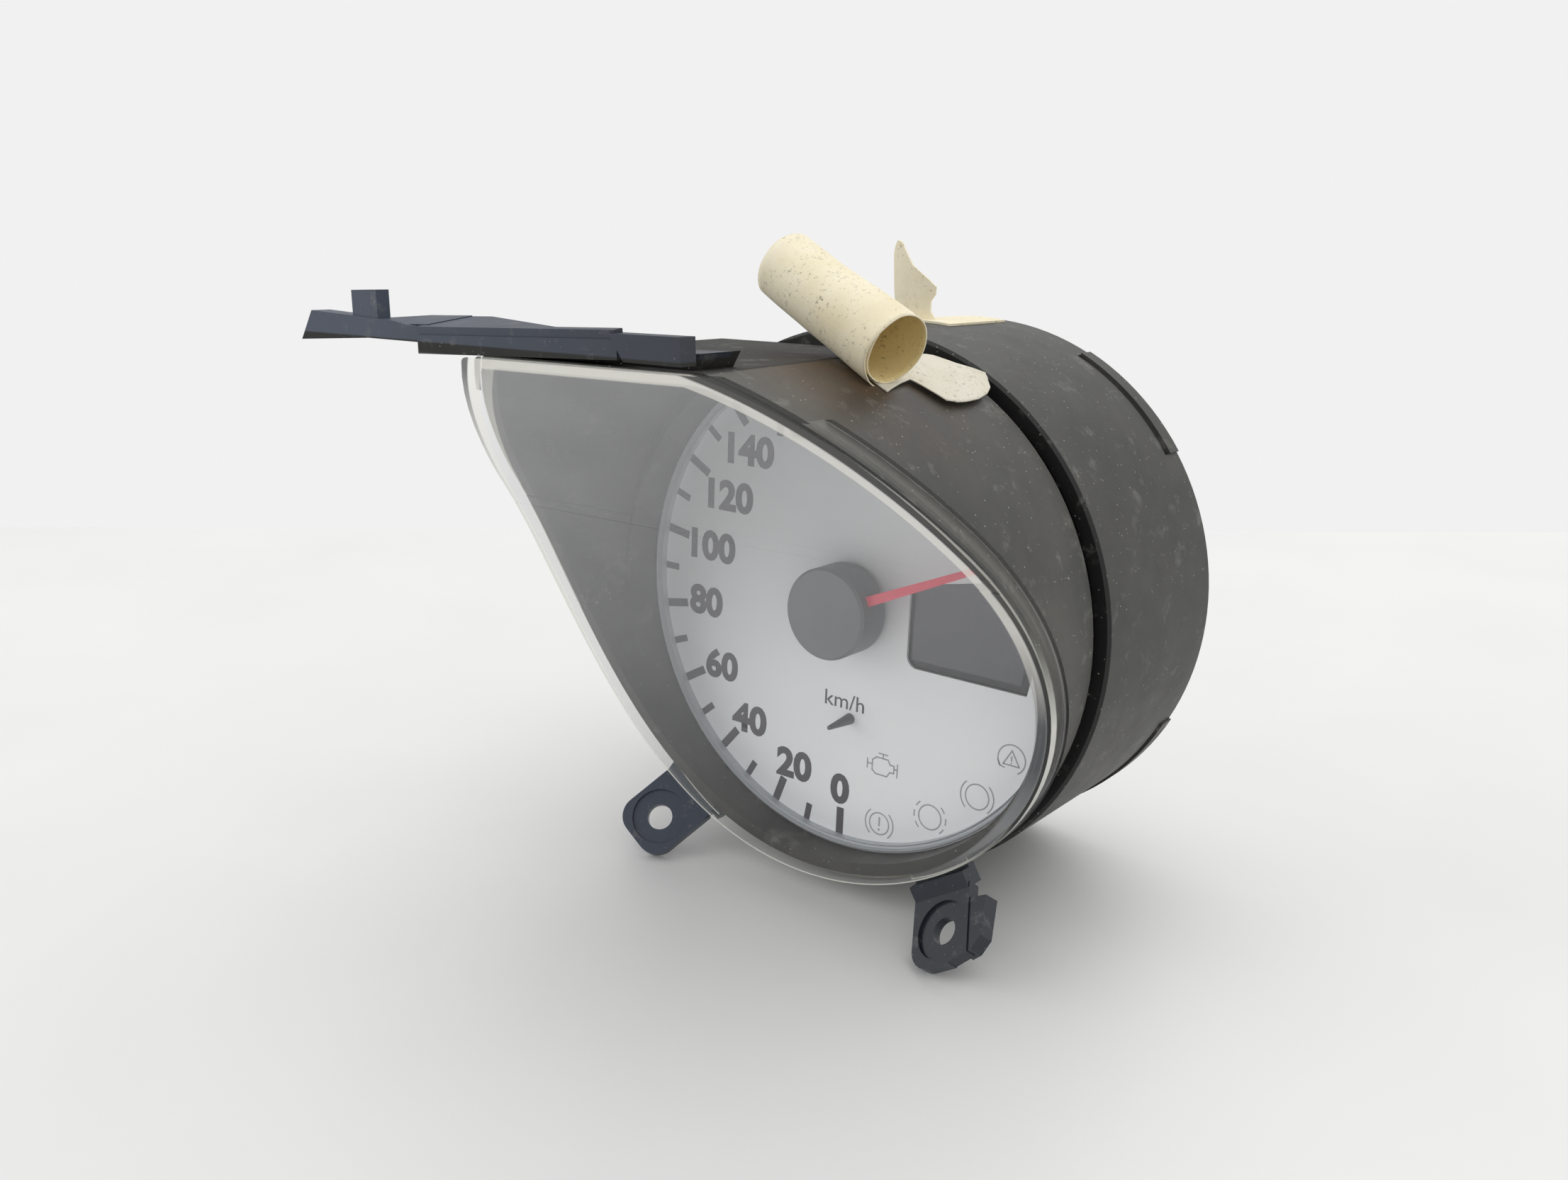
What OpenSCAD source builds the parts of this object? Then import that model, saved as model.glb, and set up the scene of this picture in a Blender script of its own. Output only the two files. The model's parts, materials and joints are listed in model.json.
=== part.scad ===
// Car speedometer with its own deep hood, standing the way it rests on a table.
// Every shape is drawn about the dial: x to three o'clock, y to twelve, z out of the dial.
// seated() then tips the whole instrument on to its two fixing ears and its rear rim.

/* [Dial] */
// radius of the printed dial plate
dial_r = 50.2; // [49:0.1:51.5]
// thickness of the dial plate
dial_t = 0.6; // [0.4:0.1:0.9]
// radial room round the dial plate in the collar
dial_gap = 0.2; // [0.1:0.05:0.4]
// height of the bright ring over the dial edge
ring_h = 2; // [1.2:0.1:2.8]
// how far the ring covers the dial edge
ring_lap = 0.5; // [0.3:0.1:1.2]
// radius of the hole the spindle passes in the dial
dial_hole_r = 2.2; // [1.6:0.1:3]

/* [Display window] */
// left edge of the window from the dial centre
window_left = 14; // [12.6:0.1:16]
// lower edge of the window, below the dial centre
window_low = 9.8; // [8:0.1:10.3]
// upper edge of the window at its left end
window_top = 7; // [6:0.1:8.5]
// rise of the upper edge towards the right, in degrees
window_rise = 11.6; // [8:0.2:12.4]
// distance from the right end of the window to the edge of the dial
window_edge = 8.2; // [7.6:0.1:10]
// corner radius of the window
window_corner = 2.5; // [1:0.1:3]

/* [Pointer] */
// radius of the round cap over the spindle
hub_r = 9.35; // [7:0.1:11]
// height of the face of the cap above the dial
hub_top = 9.3; // [8.5:0.1:11]
// gap between the skirt of the cap and the dial
hub_lift = 1.6; // [1:0.1:2.5]
// wall of the cap
hub_wall = 1.4; // [1:0.1:1.8]
// length of the needle from the spindle
needle_len = 42; // [30:0.5:43.5]
// width of the needle where it leaves the cap
needle_w = 2; // [1.4:0.1:2.4]
// width of the needle at its tip
needle_tip_w = 1; // [0.6:0.1:1.4]
// underside of the needle above the dial
needle_z = 5.4; // [4.6:0.1:5.8]
// thickness of the needle
needle_t = 1.6; // [1:0.1:1.8]
// where the needle points, clockwise from twelve
needle_at = 66; // [0:1:160]
// radius of the steel spindle
shaft_r = 0.75; // [0.6:0.05:0.9]
// radial running room of the spindle in its bushes
shaft_run = 0.04; // [0.02:0.01:0.08]

/* [Stop pin] */
// distance of the stop pin from the dial centre
pin_dist = 23.9; // [20:0.1:26]
// how far the stop pin sits right of six o'clock
pin_off = 1.2; // [0:0.1:2]
// radius of the stop pin at the dial
pin_foot_r = 1.2; // [0.9:0.05:1.5]
// radius of the stop pin at its tip
pin_tip_r = 0.45; // [0.3:0.05:0.6]
// height of the stop pin
pin_h = 7.4; // [7:0.1:8.4]

/* [Hood] */
// wall of the collar that holds the dial
collar_t = 2.2; // [1.8:0.1:2.6]
// length of the collar behind the dial
collar_len = 10; // [7:0.5:12]
// radial step from the collar to the back of the hood
hood_lip = 1.4; // [1:0.1:2]
// gap between the dial plane and the back of the hood
hood_back = 1.5; // [1:0.1:2]
// wall of the hood
hood_wall = 2.5; // [2:0.1:2.6]
// growth of the hood radius towards the front, per millimetre
hood_draft = 0.027; // [0.015:0.001:0.035]
// height of the flat top above the dial centre
top_y = 52.45; // [51.5:0.05:52.8]
// slope of the flat top, in degrees
top_slope = 1.6; // [0:0.1:3]
// where the flat top begins in front of the dial
top_z = 8; // [6:0.5:14]
// how far the squared corner reaches to the left
corner_x = 28.3; // [27:0.1:32]
// clock direction where the side of the corner leaves the round, in degrees from three
corner_from = 185; // [176:0.5:194]
// rounding of the squared corner
corner_r = 3; // [2:0.1:5]

/* [Lens] */
// radius of the curve across the lens
lens_r = 110.6; // [100:0.2:120]
// lens face in front of the dial, at the lowest point
lens_z = 10.5; // [9.6:0.1:12]
// angle of the lens at the top
lens_top = 45; // [43:0.5:47]
// sideways turn of the lens, in degrees
lens_turn = 3.15; // [2:0.05:4]
// thickness of the lens sheet
lens_t = 2; // [1.5:0.1:2.2]
// depth of the skirt that laps the hood
skirt_d = 4.5; // [3:0.1:6]
// thickness of the skirt
skirt_t = 1.1; // [0.8:0.05:1.4]
// gap left where the lens meets the hood
lens_gap = 0.06; // [0.03:0.01:0.12]

/* [Fixing ears] */
// radius of the screw hole in each ear
ear_hole_r = 2.75; // [2.2:0.05:3.2]
// radius of the shallow recess round the hole
recess_r = 6; // [4.5:0.1:6.2]
// depth of that recess
recess_d = 0.7; // [0.3:0.1:1]
// how far the root of each ear stands out from the hood before it bends forward
ear_step = 6.4; // [5:0.1:8]
// front face of that root in front of the dial
ear_z = 9.7; // [9.2:0.1:10.2]
// forward tilt of the ears, in degrees
ear_tilt = 43; // [36:0.5:46]
// length of the ears beyond the bend
ear_len = 14.5; // [14:0.1:16]
// distance of the holes from the bend
ear_hole_at = 7.3; // [6.8:0.1:7.6]
// corner radius of both ears
ear_corner = 4.5; // [3:0.1:5]
// width of the left ear
left_w = 14.1; // [12.6:0.1:15]
// thickness of the left ear
left_t = 2.4; // [2:0.1:3]
// clock direction of the left ear from six, in degrees
left_at = 35.8; // [32:0.1:38]
// half width of the right ear
right_w = 7.4; // [6.8:0.1:8]
// thickness of the right ear
right_t = 2.6; // [2.2:0.1:3]
// clock direction of the right ear from six, in degrees
right_at = 32.4; // [29:0.1:36]
// how far the thick right side reaches from the hole
right_side = 10.4; // [9:0.1:11]

/* [Top flange] */
// height of the flange above the dial centre
flange_y = 58.1; // [57.8:0.1:60]
// droop of the flange to the left, in degrees
flange_slope = 3.7; // [3.3:0.1:3.9]
// rise of the top of the flange towards the back, in degrees
flange_rise = 6.5; // [4:0.5:8]
// thickness of the flange
flange_t = 4.6; // [3.8:0.1:4.6]
// front face of the flange in front of the dial
flange_z = 72.4; // [71:0.1:74]
// depth of the flange from front to back at its left end
flange_d = 11.9; // [9:0.1:13]
// left end of the thick bar
bar_left = 40; // [38:0.5:46]
// left end of the thin tab
tab_left = 74.6; // [71:0.2:78]
// width of the square peg on the tab
peg_w = 7; // [4:0.1:8]
// height of the square peg
peg_h = 4; // [3:0.1:6]
// depth of the square peg
peg_d = 3; // [2:0.1:4]
// right end of the block at the right end of the bar
block_right = 20.1; // [16:0.1:22]

/* [Housing] */
// gap between the front of the housing and the dial plane
housing_front = 1.7; // [1.4:0.1:2.6]
// rear rim of the housing behind the dial plane
housing_rear = 48.6; // [47:0.2:52]
// wall of the housing at its rear
housing_wall = 2; // [1.6:0.1:2.3]
// radial step from the collar to the outside of the housing
housing_step = 3.2; // [2.9:0.1:3.5]
// radial room between collar and housing
collar_fit = 0.08; // [0.04:0.01:0.15]
// distance of the snap slot from the rear rim
slot_in = 5; // [4.6:0.1:6]
// width of the snap slot
slot_w = 1.2; // [1:0.1:1.8]
// length of the snap slot round the housing, in degrees
slot_arc = 29; // [20:1:40]
// clock direction of the middle of the first slot
slot_at = 40.4; // [32:0.2:46]
// how proud the snap bridge stands
bridge_h = 0.5; // [0.3:0.1:0.9]
// number of snap slots round the rim
slot_n = 4; // [3:1:5]

/* [Rear cover] */
// thickness of the rear cover
cover_t = 2; // [1.5:0.1:2.5]
// how far the cover sits inside the rear rim
cover_in = 1; // [0.4:0.1:1.6]
// radial room between cover and housing
cover_fit = 0.3; // [0.2:0.05:0.5]
// wall of the rim that reaches in from the cover
cover_rim = 2; // [1.5:0.1:2.2]

/* [Light box] */
// wall of the white light box
box_wall = 2; // [1.5:0.1:2.4]
// depth of the light box
box_d = 20.8; // [20.4:0.1:23]
// thickness of the clear light guide
guide_t = 2.6; // [2.4:0.1:3.2]
// radial room round the light box
box_fit = 0.2; // [0.1:0.05:0.3]
// radius of the lamp shaft under each warning sign
chimney_r = 2.6; // [2.2:0.1:3]
// wall of each lamp shaft
chimney_wall = 0.8; // [0.6:0.1:1]

/* [Display] */
// how far the display glass reaches past each end of the window
glass_lap = 1.5; // [1:0.1:1.8]
// height of the display glass
glass_h = 25; // [23.5:0.1:25.4]
// thickness of the display glass
glass_t = 2.2; // [1.4:0.1:2.2]
// depth of the frame behind the glass
frame_d = 5; // [3:0.1:6]
// thickness of each rubber contact strip
strip_t = 1.2; // [0.8:0.1:1.4]
// length of each rubber contact strip
strip_len = 24; // [18:0.5:25]

/* [Board and lamps] */
// radius of the circuit board
board_r = 46; // [44:0.5:48]
// thickness of the circuit board
board_t = 1.6; // [1:0.1:2]
// space between light box and circuit board
board_off = 2; // [1.6:0.1:3]
// distance of the backlight lamps from the centre
lamp_dist = 30; // [28:0.5:33]
// radius of each lamp socket
socket_r = 3.8; // [3.2:0.1:4.2]
// radius of each glass lamp
lamp_r = 2.2; // [1.8:0.1:2.5]
// radius of each capacitor
cap_r = 3.15; // [2.5:0.05:4]
// height of each capacitor
cap_h = 7.5; // [6:0.1:8.4]
// radius of the shank of each board screw
screw_r = 1.2; // [1:0.05:1.5]
// radius of each screw head
screw_head_r = 2.6; // [2.2:0.1:3]
// distance of the board screws from the centre
screw_dist = 40.5; // [39:0.5:41.5]

/* [Connector] */
// width of the connector shell
plug_w = 12; // [10:0.2:14]
// height of the connector shell
plug_h = 30; // [26:0.5:32]
// wall of the connector shell
plug_wall = 1; // [0.8:0.1:1.4]
// sideways position of the connector
plug_x = 26; // [24:0.5:28]
// pins in each of the two rows
pin_n = 8; // [4:1:9]
// side of each square connector pin
pin_side = 0.64; // [0.5:0.02:0.8]

/* [Movement] */
// outer radius of the movement case
case_r = 11; // [10.8:0.1:12]
// wall of the movement case
case_wall = 1; // [0.7:0.1:1.1]
// radius of the magnet on the spindle
magnet_r = 4.8; // [4:0.1:5]
// height of the magnet
magnet_h = 7; // [5:0.1:7.2]
// room all round the magnet
magnet_gap = 0.4; // [0.3:0.05:0.6]
// wall of the bobbin round the magnet
bobbin_wall = 1.4; // [1:0.1:1.5]
// thickness of each coil winding
coil_t = 1.2; // [0.8:0.1:1.2]
// width of each half winding
coil_w = 1.7; // [1.2:0.1:1.8]
// gap left between windings
coil_gap = 0.1; // [0.06:0.01:0.12]

/* [Paper label] */
// thickness of the paper
paper_t = 0.45; // [0.3:0.05:0.6]
// radius of the curled roll
roll_r = 6; // [4.5:0.1:6.2]
// length of the curled roll
roll_len = 34.5; // [28:0.5:38]
// height of the torn flap
flap_h = 16; // [10:0.5:18]

/* [Hidden] */
$fn = 96;

// radii, from the dial outwards
collar_in = dial_r + dial_gap;
neck_r = collar_in + collar_t;
hood_r0 = neck_r + hood_lip;
housing_r = neck_r + housing_step;
housing_in = housing_r - housing_wall;
ring_out = hood_r0 - hood_wall - 0.1;
box_r = collar_in - 2 * box_fit;
cover_r = housing_in - cover_fit;

// depths, from the dial backwards
shelf_z = 0.2;
guide_z = -dial_t;
box_z = guide_z - guide_t;
floor_z = box_z - box_d;
board_z = floor_z - board_off;
board_back = board_z - board_t;
collar_z = -collar_len;
ledge_z = collar_z - 0.2;
flange_in_z = floor_z + 2;
cover_z = -housing_rear + cover_in + cover_t;
far = 200;

// display
window_end_r = dial_r - window_edge;
glass_w = window_end_r - window_left + 2 * glass_lap;
glass_x = window_left - glass_lap + glass_w / 2;
glass_y = (window_top - window_low) / 2 + 2.4;
cell_w = glass_w + 1.1;
cell_h = glass_h + 0.5;
cell_wall = 1;
frame_z = -dial_t - 0.2 - glass_t - 0.05;
strip_y = cell_h / 2 - cell_wall - 0.2 - strip_t / 2;

// movement, stacked in front of the board
mid_z = board_z + 9.4;
chamber_r = magnet_r + magnet_gap;
chamber_h = magnet_h + 2 * magnet_gap;
bobbin_r = chamber_r + bobbin_wall;
bobbin_h = chamber_h + 2 * bobbin_wall;
a_in_x = bobbin_r + coil_gap;
a_in_z = bobbin_h / 2 + coil_gap;
b_in_x = a_in_x + coil_t + coil_gap;
b_in_z = a_in_z + coil_t + coil_gap;
case_front = mid_z + b_in_z + coil_t + 0.4;
bush_r = shaft_r + 0.7;
split = bush_r + 0.1;
shaft_low = mid_z - chamber_h / 2 - bobbin_wall * 0.6;
shaft_high = hub_top - hub_wall;

// signs on the dial that have a lamp behind them
sign_at = [for (p = [[9.9, -31.9], [9.8, -43.6], [21.7, -38.9], [32, -31.7], [39.1, -22.4]])
  p * dial_r / 50.2];
lamp_at = concat(sign_at, [[plug_x + plug_w / 2 + 2.2, glass_y]]);
lamp_ang = [60, 120, 170, 230];
screw_ang = [90, 150, 210, 38];

// ---- how the instrument rests ----
function unit(v) = v / norm(v);
function turn_z(p, a) = [p[0] * cos(a) - p[1] * sin(a), p[0] * sin(a) + p[1] * cos(a), p[2]];
function turn_x(p, a) = [p[0], p[1] * cos(a) - p[2] * sin(a), p[1] * sin(a) + p[2] * cos(a)];
ear_bend = neck_r + ear_step;
function ear_out(p, a) = turn_z([0, -ear_bend, ear_z] + turn_x(p, -ear_tilt), a);
function ear_back(v, a) = turn_x(turn_z(v, -a), ear_tilt);
// lowest point of a plate with a rounded corner, seen against the up direction m
function low_point(m, cx, cy, r, zlo, zhi) =
  let (d = unit([m[0], m[1]])) [cx - r * d[0], cy - r * d[1], m[2] > 0 ? zlo : zhi];
function left_foot(n) = ear_out(low_point(ear_back(n, -left_at), left_w / 2 - ear_corner,
  -ear_len + ear_corner, ear_corner, -left_t, 0), -left_at);
function right_foot(n) = ear_out(low_point(ear_back(n, right_at), -right_w + ear_corner,
  -ear_len + ear_corner, ear_corner, -right_t, 0), right_at);
function rear_foot(n) = low_point(n, 0, 0, housing_r, -housing_rear, 0);
function plane_up(n) = let (a = left_foot(n), b = right_foot(n), c = rear_foot(n))
  unit(cross(b - a, c - a));
function settle(n, k) = k == 0 ? n : settle(plane_up(n), k - 1);
up = settle(unit([0.02, 1, 0.03]), 8);
row_up = [up[0], -up[2], up[1]];
lean_axis = cross(row_up, [0, 0, 1]);
lean = acos(row_up[2]);
rest_h = up * right_foot(up);
centre_x = -11.981;
centre_y = -7.269;

module seated() {
  translate([-centre_x, -centre_y, -rest_h])
    rotate(a = lean, v = lean_axis)
      rotate([90, 0, 0]) children();
}

// ---- shapes used by more than one piece ----
module disc(r, z0, z1) {
  translate([0, 0, z0]) cylinder(r = r, h = z1 - z0);
}

module ring(r0, r1, z0, z1) {
  difference() {
    disc(r1, z0, z1);
    disc(r0, z0 - 1, z1 + 1);
  }
}

module box(x0, x1, y0, y1, z0, z1) {
  translate([x0, y0, z0]) cube([x1 - x0, y1 - y0, z1 - z0]);
}

function hood_r(z) = hood_r0 + (z - hood_back) * hood_draft;

// solid inside the hood outline, drawn in by d, its flat top lowered by e
module hood_solid(d, e, z0, z1, zt) {
  difference() {
    translate([0, 0, z0])
      cylinder(r1 = hood_r(z0) - d, r2 = hood_r(z1) - d, h = z1 - z0);
    rotate([0, 0, top_slope])
      translate([-far / 2, top_y - e, zt]) cube([far, far, far]);
  }
  rotate([0, 0, top_slope])
    translate([0, 0, zt])
      linear_extrude(height = z1 - zt) corner_shape(d, e);
}

// the squared corner: a flatter arc leaves the round of the hood and meets the flat top
module corner_shape(d, e) {
  r = corner_r - min(d, corner_r - 1);
  big = hood_r(40) - 0.6;
  from = [cos(corner_from), sin(corner_from)];
  tip = [-corner_x, top_y];
  k = (tip * tip - big * big) / (2 * (big - tip * from));
  m = -k * from;
  side = big + k - d;
  y = top_y - e - r - m[1];
  c = m + [-sqrt((side - r) * (side - r) - y * y), y];
  a0 = atan2(c[1] - m[1], c[0] - m[0]);
  polygon(concat([[8, top_y - e], [c[0], top_y - e]],
    [for (i = [0:14]) let (a = a0 + (corner_from - a0) * i / 14) m + side * [cos(a), sin(a)]],
    [[-28, 2], [8, 30]]));
  translate(c) circle(r);
}

// everything in front of the lens face, moved back by k
module front_space(k) {
  cy = -neck_r - 2.1;
  cz = lens_z + lens_r;
  rotate([0, lens_turn, 0]) {
    translate([-far / 2, cy, cz]) rotate([0, 90, 0]) cylinder(r = lens_r + k, h = far, $fn = 180);
    // the flat upper part, leaving the curve at a very slight angle
    translate([-far / 2, cy, cz])
      rotate([lens_top, 0, 0])
        translate([0, -6, 0.06 - lens_r - k]) cube([far, 96, lens_r + k - 10]);
  }
}

module window_shape(g) {
  r = window_corner;
  x = window_left - g;
  y0 = -window_low - g;
  y1 = window_top + g;
  intersection() {
    circle(window_end_r + g);
    union() {
      polygon([[x + r, y0], [dial_r, y0], [dial_r, y1 + (dial_r - x) * tan(window_rise)],
        [x + r, y1 + r * tan(window_rise)], [x, y1 - r], [x, y0 + r]]);
      translate([x + r, y0 + r]) circle(r);
      translate([x + r, y1 - r * 0.8]) circle(r);
    }
  }
}

// ---- hood, lens and dial ----
module ear_frame(a) {
  rotate([0, 0, a]) translate([0, -ear_bend, ear_z]) children();
}

// flat root of an ear, let into the wall of the hood
module ear_root(x0, x1, t0, t1) {
  box(x0 + 0.15, x1 - 0.15, -0.2, ear_step - 0.6, -t1, -t0);
}

module ear_hole() {
  rotate([-ear_tilt, 0, 0]) translate([0, -ear_hole_at, 0]) {
    translate([0, 0, -10]) cylinder(r = ear_hole_r, h = 20);
    translate([0, 0, -recess_d]) cylinder(r = recess_r, h = 5);
  }
}

module left_ear() {
  r = ear_corner;
  w = left_w / 2;
  ear_frame(-left_at) difference() {
    union() {
      ear_root(-w, w, 0, left_t);
      rotate([-ear_tilt, 0, 0]) translate([0, 0, -left_t]) linear_extrude(height = left_t) {
        polygon([[-w, 1.2], [w, 1.2], [w, -ear_len + r], [w - r, -ear_len],
          [-w + r, -ear_len], [-w, -ear_len + r]]);
        translate([w - r, -ear_len + r]) circle(r);
        translate([-w + r, -ear_len + r]) circle(r);
      }
      // small hook at the foot of the right side
      box(w - 1.6, w + 1.6, 1.2, 4.6, -4.2, -left_t + 0.5);
    }
    ear_hole();
  }
}

module right_ear() {
  r = ear_corner;
  w = right_w;
  y = -ear_len;
  ear_frame(right_at) difference() {
    union() {
      ear_root(-w, w - 1, 2.6, right_t + 2);
      box(-w + 0.15, w - 1.15, -0.2, ear_bend - neck_r - 3.2, -3, 0);
      rotate([-ear_tilt, 0, 0]) {
        translate([0, 0, -right_t]) linear_extrude(height = right_t) {
          polygon([[-w, 1.2], [w - 1, 1.2], [w - 1, y + 1.4], [2.3, y + 0.3], [2, y],
            [-w + r, y], [-w, y + r]]);
          translate([-w + r, y + r]) circle(r);
        }
        // the thick right side, set back a little
        translate([0, 0, -right_t - 1]) linear_extrude(height = right_t + 0.7)
          polygon([[w - 2.2, -1.9], [right_side, -2.5], [right_side - 1, y + 4.1],
            [w - 0.2, y + 1.8], [w - 2.2, y + 1.3]]);
      }
    }
    ear_hole();
  }
}

// a flat plate seen from above: its outline gives x and the distance in front of the dial
module flange_plate(y0, y1, outline) {
  translate([0, y1, 0]) rotate([90, 0, 0]) linear_extrude(height = y1 - y0) polygon(outline);
}

module top_flange() {
  z0 = flange_z - flange_d;
  low = flange_y - flange_t;
  rotate([0, 0, flange_slope]) {
    // thick bar, deeper at its left end
    flange_plate(low, flange_y - 1.4, [[-bar_left, flange_z], [7, flange_z],
      [7, flange_z - 4.8], [4, flange_z - 5.2], [-bar_left + 4, z0], [-bar_left, z0]]);
    // its top rises towards the back
    translate([0, flange_y, flange_z]) rotate([flange_rise, 0, 0])
      flange_plate(-3, 0, [[-bar_left + 0.1, 0], [6.5, 0], [6.5, -2], [-8, -2],
        [-bar_left + 6, -flange_d], [-bar_left + 0.1, -flange_d]]);
    // block at the right end of the bar, its left side chamfered
    translate([0, 0, flange_z - 3.3]) linear_extrude(height = 3.6)
      polygon([[5.6, flange_y - 0.5], [block_right, flange_y - 0.9],
        [block_right, low - 0.7], [8.5, low - 0.2]]);
    // thin arm and tab, and the square peg standing on it
    translate([0, 0, flange_z - 5]) linear_extrude(height = 4)
      polygon([[-bar_left + 1, flange_y - 0.4], [-48, flange_y + 0.9],
        [-tab_left + 3.6, flange_y + 2.6], [-tab_left, low + 1.9], [-54.7, low + 2.4],
        [-bar_left + 1, low + 1.8]]);
    translate([0, flange_y + 0.3, flange_z - 1.2]) rotate([flange_rise, 0, 0])
      flange_plate(-2.4, 0, [[-58, -0.4], [-bar_left + 1, -0.4], [-bar_left + 1, 1.4 - flange_d],
        [-50, 1.4 - flange_d], [-58, -7]]);
    box(-52 - peg_w, -52, flange_y + 1, flange_y + 2.2 + peg_h, flange_z - 1 - peg_d,
      flange_z - 1.2);
  }
  // riser that ties the flange to the flat top of the hood
  translate([0, 0, z0 - 4]) linear_extrude(height = flange_d - 2)
    polygon([[-corner_x + 3, top_y - 1.6], [13, top_y - 0.6], [15, low + 2],
      [-corner_x + 3, low - 0.5]]);
}

module front_shroud() {
  color("#4a4a47") seated() {
    difference() {
      hood_solid(0, 0, hood_back, 82, top_z);
      disc(hood_r0 - hood_wall, shelf_z, hood_back + 0.01);
      hood_solid(hood_wall, hood_wall, hood_back, 83, top_z + hood_wall);
      front_space(lens_t + lens_gap);
    }
    difference() {
      disc(neck_r, collar_z, hood_back + 0.6);
      disc(collar_in, collar_z - 1, 20);
      disc(hood_r0 - hood_wall, shelf_z, 20);
    }
    right_ear();
    left_ear();
    top_flange();
  }
}

module lens() {
  color("#dfe6ea", 0.3) seated() difference() {
    intersection() {
      hood_solid(-skirt_t, 0.3, hood_back + 1, 88, top_z);
      front_space(lens_t + skirt_d);
    }
    front_space(0);
    // hollow behind the sheet, open along the flat top
    difference() {
      union() {
        hood_solid(-lens_gap, -0.6, hood_back, 90, top_z - 1);
        rotate([0, 0, top_slope]) box(-far / 2, far / 2, top_y - 7, far / 2, 0, 95);
      }
      front_space(lens_t);
    }
    // straight notches in the skirt that let the two ears pass
    rotate([0, 0, -left_at]) box(-left_w / 2 - 0.3, left_w / 2 + 1.9, -neck_r - 20,
      -neck_r - 1.2, 0, ear_z + 0.3);
    rotate([0, 0, right_at]) box(-right_w - 0.3, right_w - 0.7, -neck_r - 20,
      -neck_r - 1.2, 0, ear_z - 2.35);
  }
}

module dial_ring() {
  color("#c9c9c6") seated() rotate_extrude() {
    r0 = dial_r - ring_lap;
    h = ring_h;
    polygon([[r0, 0.02], [dial_r - 0.1, 0.02], [dial_r - 0.1, shelf_z], [ring_out, shelf_z],
      [ring_out, h * 0.8], [ring_out - 0.5, h], [ring_out - 0.8, h * 0.55],
      [r0 + 0.5, h * 0.5], [r0 + 0.15, h * 0.7]]);
  }
}

module dial_plate() {
  color("#d3d6d8") seated() difference() {
    disc(dial_r, -dial_t, 0);
    disc(dial_hole_r, -2, 1);
    translate([0, 0, -2]) linear_extrude(height = 4) window_shape(0);
    translate([pin_off, -pin_dist, -2]) cylinder(r = 0.65, h = 4);
  }
}

module stop_pin() {
  color("#5b5f60") seated() translate([pin_off, -pin_dist, 0]) {
    cylinder(r1 = pin_foot_r, r2 = pin_tip_r, h = pin_h);
    translate([0, 0, -dial_t - 1.2]) cylinder(r = 0.6, h = dial_t + 1.3);
  }
}

// ---- pointer, all on one spindle ----
module hub_cap() {
  color("#4c5052") seated() difference() {
    union() {
      disc(hub_r, hub_lift, hub_top - 0.5);
      translate([0, 0, hub_top - 0.51]) cylinder(r1 = hub_r, r2 = hub_r - 0.5, h = 0.51);
    }
    difference() {
      disc(hub_r - hub_wall, hub_lift - 1, hub_top - hub_wall);
      disc(shaft_r + 1.3, 0, hub_top);
    }
    disc(shaft_r + 0.01, 0, shaft_high);
    rotate([0, 0, 90 - needle_at])
      box(shaft_r + 2, hub_r + 2, -needle_w / 2 - 0.02, needle_w / 2 + 0.02,
        needle_z - 0.02, needle_z + needle_t + 0.02);
    rotate([0, 0, 90 - needle_at])
      box(hub_r - hub_wall - 0.1, hub_r + 2, -needle_w / 2 - 0.02, needle_w / 2 + 0.02,
        hub_lift - 1, needle_z + needle_t);
  }
}

module needle() {
  color("#d85a66") seated() rotate([0, 0, 90 - needle_at]) {
    translate([0, 0, needle_z]) linear_extrude(height = needle_t)
      polygon([[shaft_r + 2.02, -needle_w / 2], [hub_r, -needle_w / 2],
        [needle_len, -needle_tip_w / 2], [needle_len, needle_tip_w / 2],
        [hub_r, needle_w / 2], [shaft_r + 2.02, needle_w / 2]]);
  }
}

module pointer_shaft() {
  color("#b8bcbf") seated() disc(shaft_r, shaft_low, shaft_high);
}

module rotor_magnet() {
  color("#3a3836") seated()
    ring(shaft_r + 0.01, magnet_r, mid_z - magnet_h / 2, mid_z + magnet_h / 2);
}

// ---- light guide, light box and display ----
module light_guide() {
  color("#e8eef0", 0.6) seated() difference() {
    disc(dial_r - 0.7, box_z, guide_z);
    disc(dial_hole_r + 0.8, box_z - 1, 1);
    translate([0, 0, box_z - 1]) glass_block(0.8, 4 + guide_t);
    translate([pin_off, -pin_dist, -dial_t - 1.4]) cylinder(r = 0.8, h = 4);
  }
}

module glass_block(g, h) {
  translate([glass_x - glass_w / 2 - g, glass_y - glass_h / 2 - g, 0])
    cube([glass_w + 2 * g, glass_h + 2 * g, h]);
}

module cell(g, z0, z1) {
  translate([glass_x - cell_w / 2 + g, glass_y - cell_h / 2 + g, z0])
    cube([cell_w - 2 * g, cell_h - 2 * g, z1 - z0]);
}

module strip_hole(g, z0, z1) {
  for (s = [-1, 1])
    translate([glass_x - strip_len / 2 - g, glass_y + s * strip_y - strip_t / 2 - g, z0])
      cube([strip_len + 2 * g, strip_t + 2 * g, z1 - z0]);
}

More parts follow.
